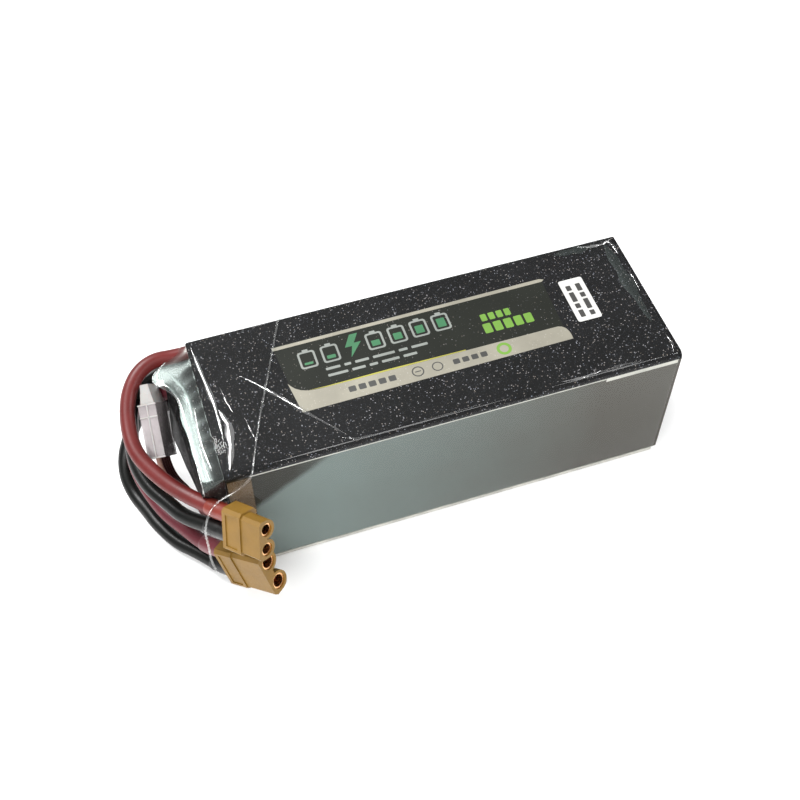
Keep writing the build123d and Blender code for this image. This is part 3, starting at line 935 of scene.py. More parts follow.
@dataclass
class Label:
    """The glitter card over the top and round both long edges, with its print."""

    near_edge: float = 57.0
    edge_radius: float = 2.15
    thickness: float = 0.12
    ink_step: float = 0.012
    sticker_place: Flat = (65.2, 4.1)
    sticker_half: Flat = (4.6, 10.0)

    def build(self) -> None:
        """Models the card, its print and the sticker."""
        self.sheet()
        self.panel()
        self.swoosh()
        self.marks()
        self.sticker()
        self.card_edges()

    def sheet(self) -> None:
        """The card: a block with its long top edges rounded, cut down to a skin."""
        side = HALF_WIDTH - 0.24
        piece = new_block("label_sheet", (WIRE_END + 0.3, -side, 30.0), (PLAIN_END - 0.3, side, LABEL_TOP))
        pick(piece, Part.EDGES, lambda e: edge_along(e, 0) and e.verts[0].co.z > 0.05)
        bpy.ops.mesh.bevel(offset=self.edge_radius * MM, segments=8, affect="EDGES")
        bpy.ops.mesh.select_all(action="SELECT")
        bpy.ops.mesh.bisect(
            plane_co=(0, 0, self.near_edge * MM), plane_no=(0, 0, 1), clear_inner=True, clear_outer=False
        )
        leave_edit()
        pick(piece, Part.FACES, lambda f: abs(f.normal.x) > 0.9 or f.normal.z < -0.9)
        bpy.ops.mesh.delete(type="FACE")
        leave_edit()
        modify(piece, "SOLIDIFY", thickness=self.thickness * MM, offset=-1.0)
        smooth(piece, 35.0)
        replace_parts(piece, "top_label_card")
        dress(piece, GLITTER)

    def add_print(self, name: str, outlines: Sequence[Sequence[Flat]], ink: Ink, layer: int) -> None:
        """One printed shape.

        Args:
            name: the piece's name.
            outlines: its outlines in millimetres.
            ink: its ink.
            layer: 0 on the card; a higher layer lies on a lower one.
        """
        piece = flat_shapes(name, outlines, LABEL_TOP + self.ink_step + self.ink_step * layer)
        dress(piece, ink)

    def panel(self) -> None:
        """The dark panel and the silver stripe along its far edge."""
        panel = [(-46.4, 17.6), (-43.6, -12.6), (54.6, -11.8), (55.4, 16.8)]
        self.add_print("print_panel", [panel], PANEL_INK, 0)
        stripe = [(-46.6, 15.7), (-46.7, 17.1), (54.8, 17.9), (56.4, 17.2), (55.4, 16.4)]
        self.add_print("print_stripe", [stripe], SILVER_INK, 1)

    def upper_edge(self) -> list[Flat]:
        """The silver band's upper edge, from its hook to its rounded end. Returns: its points."""
        hook = [
            (-45.3, 0.5), (-44.6, -0.9), (-43.4, -2.4), (-41.8, -3.6), (-39.6, -4.5), (-37.0, -4.9),
            (-33.0, -5.1),
        ]
        run = [(x, -5.1 - 0.0009 * x) for x in range(-28, 52, 8)]
        end = [(52.6, -5.1), (54.1, -5.6), (55.2, -6.7), (55.8, -8.2), (56.0, -10.0), (55.9, -11.9)]
        return hook + run + end

    def swoosh(self) -> None:
        """The silver band along the near edge, with its thin gold line."""
        outline = self.upper_edge() + [(-43.6, -12.9)]
        self.add_print("print_band", [outline], SILVER_INK, 1)
        line = [(-39.0, -4.5), (-33.0, -4.65), (-10.0, -4.4), (18.0, -4.7), (18.0, -5.05), (-33.0, -5.05)]
        self.add_print("print_band_line", [line], GOLD_INK, 1)

    def marks(self) -> None:
        """Plain marks in place of lettering."""
        self.cell_marks()
        self.dashes()
        self.bars_and_rings()

    def cell_marks(self) -> None:
        """A row of battery symbols, each fuller than the last, with a bolt in the third's place."""
        first_x, pitch, width, height, line = -39.0, 8.3, 6.3, 7.6, 0.75
        frames, fills = [], []
        for k in (0, 1, 3, 4, 5, 6):
            x, low = first_x + pitch * k, 4.6 + 0.25 * k
            frames += [
                rounded((x, x + width), (low, low + height), 1.1),
                rounded((x + line, x + width - line), (low + line, low + height - line), 0.6),
                rounded((x + width / 3, x + width * 2 / 3), (low + height, low + height + 0.8), 0.2),
            ]
            fills.append(rounded((x + 1.6, x + 4.7), (low + 1.6, low + 2.6 + 0.5 * k), 0.3))
        self.add_print("print_cell_frames", frames, PALE_INK, 1)
        self.add_print("print_cell_levels", fills, GREEN_INK, 1)
        bolt = [
            (-19.0, 14.6), (-22.0, 9.4), (-19.4, 9.4), (-21.0, 4.6), (-15.8, 10.6), (-18.4, 10.6),
            (-16.0, 14.6),
        ]
        self.add_print("print_bolt", [bolt], GREEN_INK, 1)

    def dashes(self) -> None:
        """Two rows of dashes under the battery symbols."""
        row_start, row_step, half_height, gap = -31.0, 2.9, 0.55, 1.5
        dashes = []
        for row, lengths in enumerate(((5.2, 2.4, 5.0, 8.0, 3.2, 6.0), (7.2, 4.8, 3.0, 6.4, 5.0))):
            x, y = row_start, 2.3 - row_step * row
            for length in lengths:
                dashes.append(rounded((x, x + length), (y - half_height, y + half_height), 0.3))
                x += length + gap
        self.add_print("print_dashes", dashes, PALE_INK, 1)

    def bars_and_rings(self) -> None:
        """Lime bars on the panel, and dark bars and rings on the silver band."""
        lime = [rounded((28.0 + 3.0 * k, 30.2 + 3.0 * k), (5.4, 8.6), 0.4) for k in range(4)]
        lime += [rounded((27.4 + 3.9 * k, 30.4 + 3.9 * k), (-0.2, 4.2), 0.5) for k in range(5)]
        self.add_print("print_lime_bars", lime, LIME_INK, 1)
        dark = [ring(-1.0, -8.6, 2.2), ring(-1.0, -8.6, 1.75), rounded((-2.1, 0.1), (-8.8, -8.4), 0.15)]
        dark += [rounded((-26.0 + 3.6 * k, -23.4 + 3.6 * k), (-9.8, -7.4), 0.4) for k in range(5)]
        dark += [ring(6.2, -8.6, 2.0), ring(6.2, -8.6, 1.6)]
        dark += [rounded((12.0 + 3.4 * k, 14.4 + 3.4 * k), (-9.7, -7.5), 0.4) for k in range(4)]
        self.add_print("print_dark_marks", dark, DARK_INK, 2)
        loop = [ring(31.0, -8.5, 2.7), ring(31.0, -8.5, 1.6)]
        self.add_print("print_green_ring", loop, LIME_INK, 2)

    def sticker(self) -> None:
        """The small pale sticker with two rows of dark bars."""
        top = HEIGHT + 0.06
        (middle_x, middle_y), (wide, long) = self.sticker_place, self.sticker_half
        outline = rounded((middle_x - wide, middle_x + wide), (middle_y - long, middle_y + long), 0.9)
        base = flat_shapes("rating_sticker_paper", [outline], top, 0.08)
        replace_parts(base, "rating_sticker")
        dress(base, STICKER)
        bars, half_width, gap = [], 0.95, 0.9
        for x, lengths in (
            (middle_x - 1.9, (3.4, 2.2, 4.6, 2.4)),
            (middle_x + 1.9, (2.2, 4.8, 2.2, 3.6)),
        ):
            y = middle_y - 8.2
            for length in lengths:
                bars.append(rounded((x - half_width, x + half_width), (y, y + length), 0.25))
                y += length + gap
        dress(flat_shapes("rating_sticker_bars", bars, top + 0.05, 0.02), DARK_INK)

    def card_edges(self) -> None:
        """The pale cut edges of the cards that show along both sides."""
        for name, side in (("near", -1), ("far", 1)):
            face, depth = side * (HALF_WIDTH - 0.235), side * (HALF_WIDTH - 0.6)
            low, high = min(face, depth), max(face, depth)
            for label, x, z in (
                ("upper", (-66.7, 61.0), (56.35, 57.0)),
                ("upper_wide", (61.0, 88.6), (55.0, 57.0)),
                ("lower", (-66.0, 88.0), (0.35, 1.9)),
            ):
                piece = new_block(f"{name}_{label}_edge", (x[0], low, z[0]), (x[1], high, z[1]))
                modify(piece, "BEVEL", width=0.1 * MM, segments=2)
                dress(piece, CARD_EDGE)


@dataclass
class FilmSkin:
    """The clear shrink film round the pack, its folds and its open mouth at the wire end."""

    edge: float = 2.4
    mouth_columns: int = 64
    mouth_rows: int = 14
    thickness: float = 0.1
    corner: float = 0.86
    reach: float = 7.4
    root_y: Flat = (29.4, -30.1)
    root_z: float = HEIGHT - 0.1
    lip_y: Flat = (25.2, -28.4)
    lip_z: float = 59.2
    leg_lip_z: float = 57.3

    def build(self) -> None:
        """Models the film."""
        self.skin()
        self.mouth()
        self.creases()
        self.end_folds()

    def skin(self) -> None:
        """The film round the pack, open at the wire end."""
        piece = new_block("film_skin", (WIRE_END, -HALF_WIDTH, 0.0), (PLAIN_END, HALF_WIDTH, HEIGHT))
        pick(
            piece, Part.EDGES,
            lambda e: edge_along(e, 0) or (e.verts[0].co.x > 0.08 and e.verts[1].co.x > 0.08),
        )
        bpy.ops.mesh.bevel(offset=self.edge * MM, segments=6, affect="EDGES")
        leave_edit()
        pick(piece, Part.FACES, lambda f: f.normal.x < -0.9)
        bpy.ops.mesh.delete(type="FACE")
        leave_edit()
        smooth(piece, 50.0)
        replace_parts(piece, "shrink_film")
        dress(piece, FILM)

    def mouth_point(self, across: float, out: float) -> Vector:
        """A point of the mouth's sheet.

        Args:
            across: 0 at the far edge to 1 at the foot of the near leg.
            out: 0 at the pack to 1 at the open edge.

        Returns:
            The point in millimetres.
        """
        (far_root, near_root), (far_lip, near_lip) = self.root_y, self.lip_y
        if across < self.corner:
            share = across / self.corner
            tip = 7.0 * self.swell(share, 0.10, 0.15) - 4.0 * self.swell(share, 0.0, 0.06)
            sag = 2.4 * self.swell(share, 0.12, 0.16) + 1.9 * share
            root = Vector((WIRE_END, far_root + (near_root - far_root) * share, self.root_z))
            lip_y = far_lip + (near_lip - far_lip) * share
            lip = Vector((WIRE_END - self.reach - tip, lip_y, self.lip_z - sag))
        else:
            share = (across - self.corner) / (1 - self.corner)
            bow = math.sin(min(1.0, share * 2.0) * math.pi / 2)
            root = Vector((WIRE_END, near_root - 0.3 * bow, self.root_z - 12.4 * share))
            lip = Vector((WIRE_END - self.reach, near_lip - 0.7 * bow, self.leg_lip_z - 7.0 * share))
        point = root.lerp(lip, out)
        middle = out * (1 - out)
        fold = math.sin(11.0 * across + 1.3) * 0.22 + math.sin(19.0 * across) * 0.12
        crimp = 0.16 * math.sin(70.0 * across) * math.exp(-out * 5.0)
        if across < self.corner:
            point.z += (2.0 * fold - 1.8) * middle + crimp - 0.1
        else:
            point.y += 0.25 * abs(fold) * out
        return point

    @staticmethod
    def swell(share: float, middle: float, width: float) -> float:
        """A soft bump of height 1. Returns: its height at a share."""
        return math.exp(-(((share - middle) / width) ** 2))

    def along_mouth(self, start: float, end: float, out: float, bow: float = 0.0) -> list[Point]:
        """Points just above the mouth's sheet.

        Args:
            start: where it starts across the sheet.
            end: where it ends.
            out: how far out it runs.
            bow: how much further out its middle is.

        Returns:
            The points in millimetres.
        """
        steps, clearance = 8, 0.12
        points = []
        for step in range(steps + 1):
            share = step / steps
            place = self.mouth_point(start + (end - start) * share, out + bow * math.sin(math.pi * share))
            points.append((place.x, place.y, place.z + clearance))
        return points

    def mouth(self) -> None:
        """The mouth that stands off the wire end, a thin creased sheet."""
        piece = new_sheet("film_mouth", self.mouth_rows, self.mouth_columns, self.mouth_point)
        thicken(piece, self.thickness, levels=1)
        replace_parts(piece, "film_collar")
        dress(piece, MOUTH_FILM)
        self.lip()
        for name, start, end, out, bow, width, finish in (
            ("film_streak_outer", 0.14, 0.85, 0.82, 0.04, 3.2, SHEEN_FILM),
            ("film_streak_rim", 0.22, 0.80, 0.91, 0.02, 0.9, STREAK_FILM),
            ("film_streak_middle", 0.10, 0.46, 0.60, -0.10, 2.0, SHEEN_FILM),
            ("film_streak_inner", 0.40, 0.80, 0.40, 0.12, 0.7, STREAK_FILM),
            ("film_streak_far", 0.05, 0.20, 0.84, 0.04, 0.7, STREAK_FILM),
            ("film_streak_near", 0.62, 0.85, 0.60, 0.06, 0.6, CREASE_FILM),
        ):
            self.ridge(name, self.along_mouth(start, end, out, bow), width, 0.12, finish)

    def lip(self) -> None:
        """The thicker cut edge of the mouth."""
        count, radius, inset = 90, 0.16, 0.005
        shares = [inset + (1 - 2 * inset) * k / (count - 1) for k in range(count)]
        points = [self.mouth_point(share, 1 - inset) * MM for share in shares]
        piece = to_mesh(round_curve("film_mouth_lip", points, radius * MM, 2))
        dress(smooth(piece, 60.0), CREASE_FILM)

    def ridge(
        self, name: str, path: Sequence[Point], width: float, height: float, finish: Finish = CREASE_FILM
    ) -> None:
        """One raised crease, a low ridge that tapers to both ends.

        Args:
            name: the piece's name.
            path: points along it in millimetres.
            width: its greatest width.
            height: its greatest height.
            finish: its finish.
        """
        points = [Vector(p) for p in path]
        spans = len(points) - 1

        def place(side_share: float, share: float) -> Vector:
            """A point of the ridge. Returns: the point in millimetres."""
            side = (side_share - 0.5) * 2
            along = share * spans
            index = min(int(along), spans - 1)
            first, second = points[index], points[index + 1]
            across = (second - first).normalized().cross(Vector((0, 0, 1))).normalized()
            share = min(0.999, max(0.001, share))
            taper = math.sin(math.pi * share) ** 0.8
            taper *= 1.0 + 0.25 * math.sin(17.0 * share + 3.0 * len(name))
            lift = Vector((0, 0, height * taper * (1 - side * side)))
            return first.lerp(second, along - index) + across * side * width / 2 * taper + lift

        piece = new_sheet(name, 24, 4, place)
        smooth(piece, 70.0)
        dress(piece, finish)

    def creases(self) -> None:
        """The creases, glints and sheen in the film on top. A point without a height lies on the film."""
        for name, points, width, height, finish in (
            (
                "crease_long", ((-57.5, 6.0), (-50.5, -3.0), (-42.0, -14.0), (-32.0, -26.4)),
                1.5, 0.45, CREASE_FILM,
            ),
            ("crease_thin", ((-60.5, 9.0), (-53.0, 0.6), (-46.0, -7.6)), 0.8, 0.25, CREASE_FILM),
            ("crease_short", ((-62.8, -8.6), (-62.2, -14.0), (-61.4, -19.4)), 0.7, 0.25, CREASE_FILM),
            (
                "crease_root", ((-73.6, 27.0), (-72.6, 15.0), (-71.2, 0.0), (-71.6, -14.0)),
                1.5, 0.3, STREAK_FILM,
            ),
            (
                "crease_root_near", ((-70.4, -3.0), (-68.6, -10.0), (-69.8, -19.0), (-72.6, -28.4)),
                2.6, 0.4, STREAK_FILM,
            ),
            ("crease_root_thin", ((-71.8, 3.0), (-71.0, -8.0), (-72.4, -22.0)), 0.7, 0.3, CREASE_FILM),
            ("crease_root_side", ((-67.8, 6.0), (-67.2, 0.0), (-66.0, -6.0)), 0.8, 0.2, CREASE_FILM),
            (
                "crease_far_end", ((74.0, 28.2), (79.0, 26.6), (84.0, 26.4), (88.0, 28.0)),
                1.0, 0.35, STREAK_FILM,
            ),
            ("crease_far_corner", ((85.8, 28.4), (87.4, 25.0), (87.7, 20.0)), 1.3, 0.4, CREASE_FILM),
            ("crease_end_middle", ((87.7, 12.0), (88.0, 7.0), (87.6, 1.0)), 0.7, 0.25, CREASE_FILM),
            ("crease_end_near", ((87.6, -20.0), (88.0, -24.5), (86.8, -28.6)), 0.9, 0.3, CREASE_FILM),
            ("sheen_end", ((84.6, 28.0), (84.9, 15.0), (85.2, 2.0), (85.4, -14.0)), 4.4, 0.25, SHEEN_FILM),
            ("sheen_far", ((64.0, 27.0), (73.0, 26.6), (82.0, 26.8)), 3.2, 0.25, SHEEN_FILM),
            (
                "edge_line", ((-62.0, -29.3, 59.72), (-20.0, -29.25, 59.74), (26.0, -29.3, 59.72)),
                0.5, 0.08, STREAK_FILM,
            ),
            (
                "edge_line_far", ((40.0, -29.3, 59.72), (62.0, -29.25, 59.74), (84.0, -29.3, 59.72)),
                0.5, 0.08, STREAK_FILM,
            ),
            ("glint_near_a", ((44.0, -28.6), (52.0, -29.0), (60.0, -28.4)), 0.8, 0.2, STREAK_FILM),
            ("glint_near_b", ((58.0, -28.9), (67.0, -28.3), (75.0, -29.0)), 1.0, 0.25, CREASE_FILM),
            ("glint_near_c", ((-8.0, -28.8), (4.0, -29.0), (16.0, -28.6)), 0.5, 0.15, CREASE_FILM),
            ("glint_near_d", ((-34.0, -27.0), (-30.0, -28.8), (-22.0, -29.2)), 0.7, 0.2, CREASE_FILM),
            ("glint_far_a", ((20.0, 29.0), (34.0, 28.6), (48.0, 29.1)), 0.5, 0.15, CREASE_FILM),
            ("glint_far_b", ((-60.0, 29.0), (-48.0, 28.5), (-36.0, 29.0)), 0.5, 0.15, CREASE_FILM),
        ):
            path = [point if len(point) == 3 else (*point, HEIGHT + 0.02) for point in points]
            self.ridge(f"film_{name}", path, width, height, finish)

    def end_folds(self) -> None:
        """The overlapping flaps of film that close the plain end."""
        face = PLAIN_END + 0.05
        for name, corners, lift in (
            ("film_flap_near", ((-29.0, 2.0), (-29.0, 58.0), (-2.0, 36.0), (-2.0, 24.0)), 0.0),
            ("film_flap_far", ((29.0, 2.0), (29.0, 58.0), (3.0, 36.0), (3.0, 24.0)), 0.0),
            ("film_flap_top", ((-28.0, 59.0), (28.0, 59.0), (9.0, 29.0), (-9.0, 29.0)), 0.12),
            ("film_flap_bottom", ((-28.0, 1.0), (28.0, 1.0), (8.0, 31.0), (-8.0, 31.0)), 0.24),
        ):
            piece = flat_shapes(name, [corners], 0.0, 0.08)
            upright = Matrix(((0, 0, 1, 0), (1, 0, 0, 0), (0, 1, 0, 0), (0, 0, 0, 1)))
            piece.data.transform(upright)
            piece.data.transform(Matrix.Translation(((face + lift) * MM, 0, 0)))
            dress(piece, FILM)


@dataclass
class Cord:
    """A cord on its route: a balance wire, the clear band, or a lead under its sleeve."""

    name: str
    node: str
    route: Sequence[Point]
    diameter: float
    length: float
    finish: Finish
    slot: str
    with_pieces: Sequence[object] = ()
    far_end: FarEnd = FarEnd.PLUG
    stiffness: Stiffness = Stiffness.LIMP
    lay: Lay = Lay.LOOSE
    resolution: int = 4

    def make(self) -> bpy.types.Object:
        """Makes the cord in its node's place. Returns: the piece."""
        points = [[value * MM for value in place] for place in self.route]
        radius = self.diameter / 2 * MM
        piece = round_curve(f"{self.name}_cord", points, radius, self.resolution, Line.SMOOTH)
        dress(piece, self.finish)
        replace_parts(piece, self.node)
        return piece

    def declare(self, piece: bpy.types.Object, with_pieces: Sequence[object]) -> None:
        """Args:
            piece: the cord's piece; not used.
            with_pieces: what is fixed to its far end; not used.
        """

    def build(self) -> None:
        self.declare(self.make(), self.with_pieces)


@dataclass
class Lead(Cord):
    """One silicone lead, with its shrink sleeve at the plug."""

    resolution: int = 6
    sleeve_finish: Finish = RED_SLEEVE
    sleeve_slot: str = "red_sleeve"
    sleeve_length: float = 9.5
    sleeve_wall: float = 0.42

    def line(self, piece: bpy.types.Object) -> list[Vector]:
        """Points along a curve's own line.

        Args:
            piece: the curve.

        Returns:
            The points in metres.
        """
        bare = piece.data.copy()
        bare.bevel_depth = 0.0
        ghost = bpy.data.objects.new("line", bare)
        mesh = bpy.data.meshes.new_from_object(ghost)
        points = [vertex.co.copy() for vertex in mesh.vertices]
        bpy.data.objects.remove(ghost)
        bpy.data.meshes.remove(mesh)
        return points

    def sleeve(self, points: list[Vector]) -> bpy.types.Object:
        """The shrink sleeve over the lead's end.

        Args:
            points: the lead's line.

        Returns:
            The piece.
        """
        picked, run = [points[-1]], 0.0
        for before, after in zip(reversed(points[:-1]), reversed(points[1:])):
            run += (after - before).length
            picked.append(before)
            if run > self.sleeve_length * MM:
                break
        widths = [1.0 + 0.02 * math.sin(2.1 * index) for index in range(len(picked) - 1)] + [0.93]
        radius = (self.diameter / 2 + self.sleeve_wall) * MM
        name = f"{self.name}_shrink_sleeve"
        piece = to_mesh(round_curve(name, picked, radius, self.resolution, widths=widths))
        sharp = math.radians(50)
        modify(piece, "BEVEL", width=0.2 * MM, segments=2, limit_method="ANGLE", angle_limit=sharp)
        smooth(piece, 45.0)
        return dress(piece, self.sleeve_finish)

    def build(self) -> None:
        piece = self.make()
        sleeve = self.sleeve(self.line(piece))
        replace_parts(sleeve, f"{self.name}_sleeve")
        self.declare(piece, (sleeve, *self.with_pieces))


@dataclass
class Leads:
    """The four power leads, from the wire end to the plugs."""

    def build(self) -> None:
        """Makes all four leads."""
        for level, colour, route, length, finish, slot, sleeve_finish in (
            ("upper", "red", UPPER_RED, 92.3, RED_SILICONE, "red_silicone", RED_SLEEVE),
            ("upper", "black", UPPER_BLACK, 98.9, BLACK_SILICONE, "black_silicone", BLACK_SLEEVE),
            ("lower", "red", LOWER_RED, 106.9, CRIMSON_SILICONE, "crimson_silicone", CRIMSON_SLEEVE),
            ("lower", "black", LOWER_BLACK, 121.6, BLACK_SILICONE, "black_silicone", BLACK_SLEEVE),
        ):
            name = f"{level}_{colour}"
            Lead(
                name, f"{name}_lead", route, LEAD, length, finish, slot,
                (f"{level}_plug_housing", f"{level}_plug_sockets"),
                sleeve_finish=sleeve_finish, sleeve_slot=f"{colour}_sleeve",
            ).build()


UPPER_RED: list[Point] = [
    (-75.0, 27.3, 56.2), (-80.6, 27.3, 56.2), (-85.9, 27.0, 57.4), (-90.9, 25.0, 57.6),
    (-95.4, 21.4, 56.5), (-99.3, 15.4, 53.6), (-101.3, 6.2, 50.4), (-101.0, -3.0, 48.1),
    (-97.1, -10.9, 46.4), (-92.3, -18.0, 45.1), (-87.3, -23.7, 44.7), (-81.2, -30.5, 45.4),
    (-75.9, -37.2, 48.1),
]
UPPER_BLACK: list[Point] = [
    (-75.0, 27.3, 49.0), (-80.6, 27.3, 49.0), (-87.7, 27.2, 49.5), (-93.9, 24.7, 48.3),
    (-98.4, 20.4, 45.5), (-100.6, 15.0, 41.7), (-101.8, 8.3, 37.9), (-102.2, 0.8, 35.5),
    (-99.7, -8.6, 33.8), (-94.9, -16.5, 33.7), (-90.7, -24.9, 34.9), (-82.5, -33.9, 39.2),
    (-77.1, -40.6, 41.9),
]
LOWER_RED: list[Point] = [
    (-75.0, 19.6, 48.0), (-81.0, 19.6, 48.0), (-86.8, 20.5, 46.1), (-93.9, 23.0, 41.9),
    (-97.8, 24.6, 37.3), (-100.1, 25.0, 31.6), (-101.5, 23.4, 24.6), (-103.0, 19.0, 18.5),
    (-103.1, 12.5, 14.3), (-100.6, 3.4, 11.8), (-96.8, -6.6, 11.2), (-91.8, -14.7, 11.9),
    (-85.8, -25.7, 13.7), (-80.3, -31.7, 17.5),
]
LOWER_BLACK: list[Point] = [
    (-75.0, 19.6, 40.6), (-81.0, 19.6, 40.6), (-87.4, 21.1, 38.8), (-92.5, 24.0, 35.0),
    (-96.1, 28.9, 28.4), (-99.1, 30.2, 21.4), (-103.0, 28.3, 14.9), (-106.7, 23.6, 9.9),
    (-107.9, 17.1, 5.7), (-106.3, 9.8, 3.1), (-103.1, 1.8, 3.3), (-100.7, -5.4, 3.6),
    (-95.6, -14.6, 3.1), (-89.2, -21.3, 3.8), (-83.0, -29.8, 5.4), (-78.1, -35.2, 8.8),
]
CLEAR_BAND: list[Point] = [
    (-40.0, 31.2, 50.5), (-40.05, 31.25, 55.0), (-40.2, 31.2, 58.9), (-40.9, 29.3, 61.0),
    (-42.6, 25.0, 60.75), (-46.0, 17.0, 60.7), (-49.4, 9.0, 60.6), (-53.0, 0.6, 60.6),
    (-56.6, -7.6, 60.6), (-60.0, -16.0, 60.65), (-62.8, -23.4, 60.8), (-64.6, -28.6, 61.0),
    (-65.8, -31.2, 59.2), (-67.6, -31.5, 56.4), (-70.4, -31.6, 53.6), (-74.0, -31.7, 51.6),
    (-77.8, -32.0, 50.6), (-82.0, -34.2, 49.4), (-84.6, -36.6, 44.8), (-85.4, -37.3, 38.4),
    (-85.2, -36.4, 31.0), (-85.4, -35.0, 23.6), (-85.6, -34.0, 16.6), (-84.6, -35.0, 9.6),
]


@dataclass
class PowerPlugs:
    """The two power plugs: the CAD housings with moulded nylon and plated sockets."""

    def build(self) -> None:
        """Dresses both plugs."""
        for level in ("upper", "lower"):
            redress(f"{level}_plug_housing", NYLON)
            redress(f"{level}_plug_sockets", GOLD)


@dataclass
class BalancePlug:
    """The balance plug in its guard, and its five wires."""

    centre: Point = (-91.8, 5.8, 45.4)
    axis: Point = (0.068, 0.813, 0.578)
    row: Point = (0.303, 0.535, -0.788)
    pitch: float = 2.5
    back: float = 8.5
    wire_lengths: Sequence[float] = (35.1, 35.6, 36.2, 37.0, 37.9)

    def directions(self) -> tuple[Vector, Vector]:
        """The plug's axis and its row, square to each other. Returns: both, of length 1."""
        axis, row = Vector(self.axis).normalized(), Vector(self.row)
        return axis, (row - axis * row.dot(axis)).normalized()

    def frame(self) -> Matrix:
        """The plug's own frame: x along its row, y through it, z towards its nose. Returns: the matrix."""
        axis, row = self.directions()
        through = axis.cross(row)
        rows = [[row[k], through[k], axis[k], self.centre[k] * MM] for k in range(3)] + [[0, 0, 0, 1]]
        return Matrix(rows)

    def seat(self, piece: bpy.types.Object, finish: Finish) -> bpy.types.Object:
        """Moves a piece from the plug's frame to its place and dresses it. Returns: the piece."""
        piece.data.transform(self.frame())
        return dress(piece, finish)

    def housing(self) -> bpy.types.Object:
        """The housing: a body in the guard and a nose in two tapered steps. Returns: the piece."""
        piece = new_block("balance_housing", (-5.9, -2.6, -self.back), (5.9, 2.6, 9.6))
        taper, near = 0.78, 0.01 * MM
        for inset, rise in ((0.18, 3.6), (0.1, 3.1)):
            low = max(vertex.co.z for vertex in piece.data.vertices) - near
            pick(
                piece, Part.FACES,
                lambda face, low=low: face.normal.z > 0.9 and face.calc_center_median().z > low,
            )
            bpy.ops.mesh.inset(thickness=inset * MM)
            bpy.ops.mesh.extrude_region_move(TRANSFORM_OT_translate={"value": (0, 0, rise * MM)})
            bpy.ops.transform.resize(value=(1.0, taper, 1.0))
            leave_edit()
        modify(piece, "BEVEL", width=0.18 * MM, segments=3, limit_method="ANGLE")
        smooth(piece)
        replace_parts(piece, "balance_plug_housing")
        return self.seat(piece, PLUG_NYLON)

    def ribs(self) -> None:
        """The raised lines on the guard's faces."""
        for name, low, high in (
            ("guard_rib_edge", (-6.95, -0.25, -9.0), (-6.6, 0.25, 9.2)),
            ("guard_rib_cross", (-6.95, -3.2, 4.6), (-6.6, 3.2, 5.1)),
            ("guard_rib_rim", (-6.95, -3.3, 9.0), (-6.5, 3.3, 9.5)),
            ("guard_rib_foot", (-6.95, -3.3, -9.5), (-6.5, 3.3, -9.0)),
        ):
            piece = new_block(name, low, high)
            modify(piece, "BEVEL", width=0.12 * MM, segments=3)
            smooth(piece)
            self.seat(piece, PLUG_NYLON)

    def build(self) -> None:
        """Dresses the plug and makes its wires."""
        housing = self.housing()
        self.ribs()
        guards = ("balance_guard_far", "balance_guard_near")
        redress("balance_contacts", GOLD)
        for guard in guards:
            redress(guard, GUARD)
        for index, length in enumerate(self.wire_lengths):
            name = f"balance_wire_{index + 1}"
            finish, slot = (MAROON_WIRE, "balance_dark_red") if index else (PINK_WIRE, "balance_pink")
            Cord(
                name, name, self.route(index), BALANCE_WIRE, length, finish, slot,
                (housing, "balance_contacts", *guards),
            ).build()

    def route(self, index: int) -> list[Point]:
        """One wire's route, from the board at the wire end to the plug's back.

        Args:
            index: the wire's number from 0, counted down from the top one.

        Returns:
            The route's points in millimetres.
        """
        axis, row = self.directions()
        end = Vector(self.centre) + row * (index - 2) * self.pitch - axis * self.back
        straight = end - axis * 7.0
        y, z = -17.6, 24.0 - index * self.pitch
        return [
            (WIRE_END, y, z), (-79.6, y, z), (-84.4, y + 1.2 + 0.5 * index, z + 2.2),
            (-88.2 + 0.7 * index, y + 4.0 + 1.25 * index, z + 8.4), tuple(straight), tuple(end),
        ]


@dataclass
class Ties:
    """The clear band round the pack and the tape on its near corner."""

    def build(self) -> None:
        """Makes the band and dresses the tape."""
        Cord(
            "clear_band", "clear_band", CLEAR_BAND, BAND, 138.0, ELASTIC, "clear_elastic",
            far_end=FarEnd.OBJECT, stiffness=Stiffness.STIFF, lay=Lay.TAUT,
        ).build()
        redress("corner_tape", TAPE)


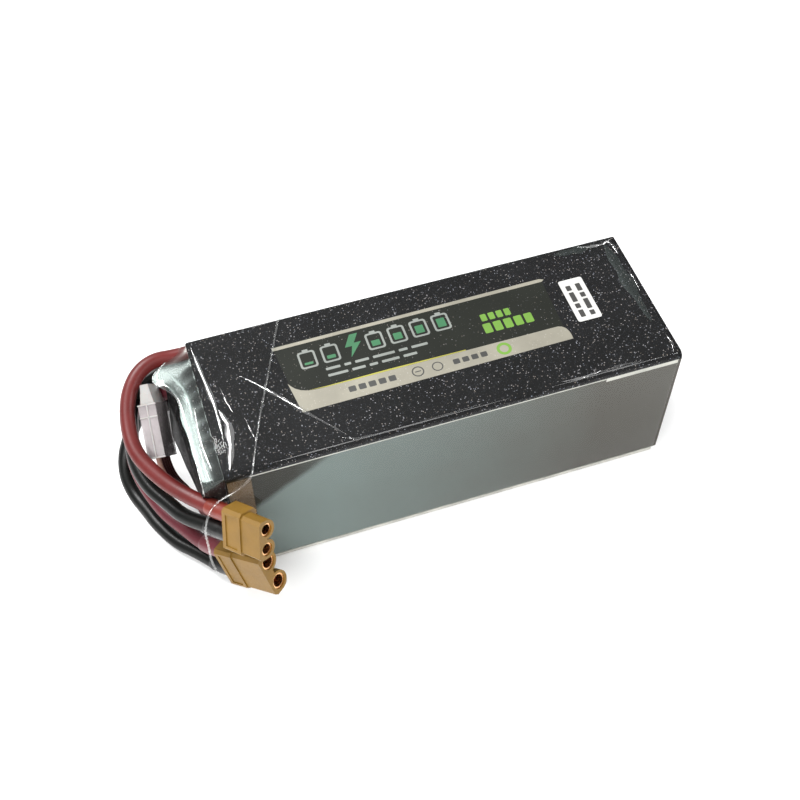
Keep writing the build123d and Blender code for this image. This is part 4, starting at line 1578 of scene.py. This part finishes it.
@dataclass
class Studio:
    """The floor, the lights and the camera."""

    paint: tuple[float, float, float, float] = (0.93, 0.93, 0.93, 1.0)
    air: float = 0.45
    aim: Point = (0.0, 0.0, 0.03)
    camera_place: Point = (-86.97, -248.67, 392.56)
    camera_turn: Sequence[Point] = (
        (0.9494, -0.3140, 0.0), (0.2537, 0.7671, 0.5892), (-0.1850, -0.5594, 0.8080),
    )
    lens: float = 54.45
    sensor: float = 36.0

    def build(self) -> None:
        """Sets the stage."""
        self.floor()
        self.lights()
        self.camera()

    def floor(self) -> None:
        """A plain pale floor."""
        clear_selection()
        bpy.ops.mesh.primitive_plane_add(size=6.0, location=(0, 0, -0.0002))
        floor = bpy.context.object
        floor.name = "studio_floor"
        made = bpy.data.materials.new("studio_floor_paint")
        made.use_nodes = True
        shader = made.node_tree.nodes["Principled BSDF"]
        shader.inputs["Base Color"].default_value = self.paint
        shader.inputs["Roughness"].default_value = 0.9
        floor.data.materials.append(made)

    def area(self, name: str, place: Point, size: Flat, power: float) -> None:
        """One softbox that faces the pack.

        Args:
            name: the light's name.
            place: its place in metres.
            size: its width and height in metres.
            power: its power in watts.
        """
        data = bpy.data.lights.new(name, "AREA")
        data.shape, data.size, data.size_y, data.energy = "RECTANGLE", size[0], size[1], power
        light = bpy.data.objects.new(name, data)
        light.location = place
        light.rotation_euler = (Vector(self.aim) - Vector(place)).to_track_quat("-Z", "Y").to_euler()
        bpy.context.collection.objects.link(light)

    def lights(self) -> None:
        """Soft lights from above, in front and behind, and a bright room."""
        world = bpy.data.worlds.new("studio_air")
        world.use_nodes = True
        background = world.node_tree.nodes["Background"]
        background.inputs["Color"].default_value = (1.0, 1.0, 1.0, 1.0)
        background.inputs["Strength"].default_value = self.air
        bpy.context.scene.world = world
        self.area("key_softbox", (-0.35, 0.45, 0.9), (0.6, 0.35), 15.0)
        self.area("front_softbox", (-0.45, -0.75, 0.65), (0.8, 0.5), 10.5)
        self.area("side_softbox", (0.8, -0.3, 0.75), (0.5, 0.4), 5.0)

    def camera(self) -> None:
        """The camera, turned by its right, up and back directions."""
        data = bpy.data.cameras.new("camera")
        data.lens, data.sensor_width = self.lens, self.sensor
        camera = bpy.data.objects.new("camera", data)
        bpy.context.collection.objects.link(camera)
        right, up, back = self.camera_turn
        place = [value * MM for value in self.camera_place]
        rows = [[right[k], up[k], back[k], place[k]] for k in range(3)] + [[0, 0, 0, 1]]
        camera.matrix_world = Matrix(rows)
        bpy.context.scene.camera = camera
        bpy.context.scene.view_settings.view_transform = "Standard"


def main() -> None:
    """Builds the sub-assemblies in order and reports each one."""
    logging.basicConfig(level=logging.INFO, format="%(name)s: %(message)s")
    for part in (
        Studio(), Leads(), BalancePlug(), Ties(), Core(), EndFlapAndShade(), Label(), FilmSkin(), PowerPlugs(),
    ):
        part.build()
        LOG.info("built %s", type(part).__name__)
    clear_selection()


if __name__ == "__main__":
    main()
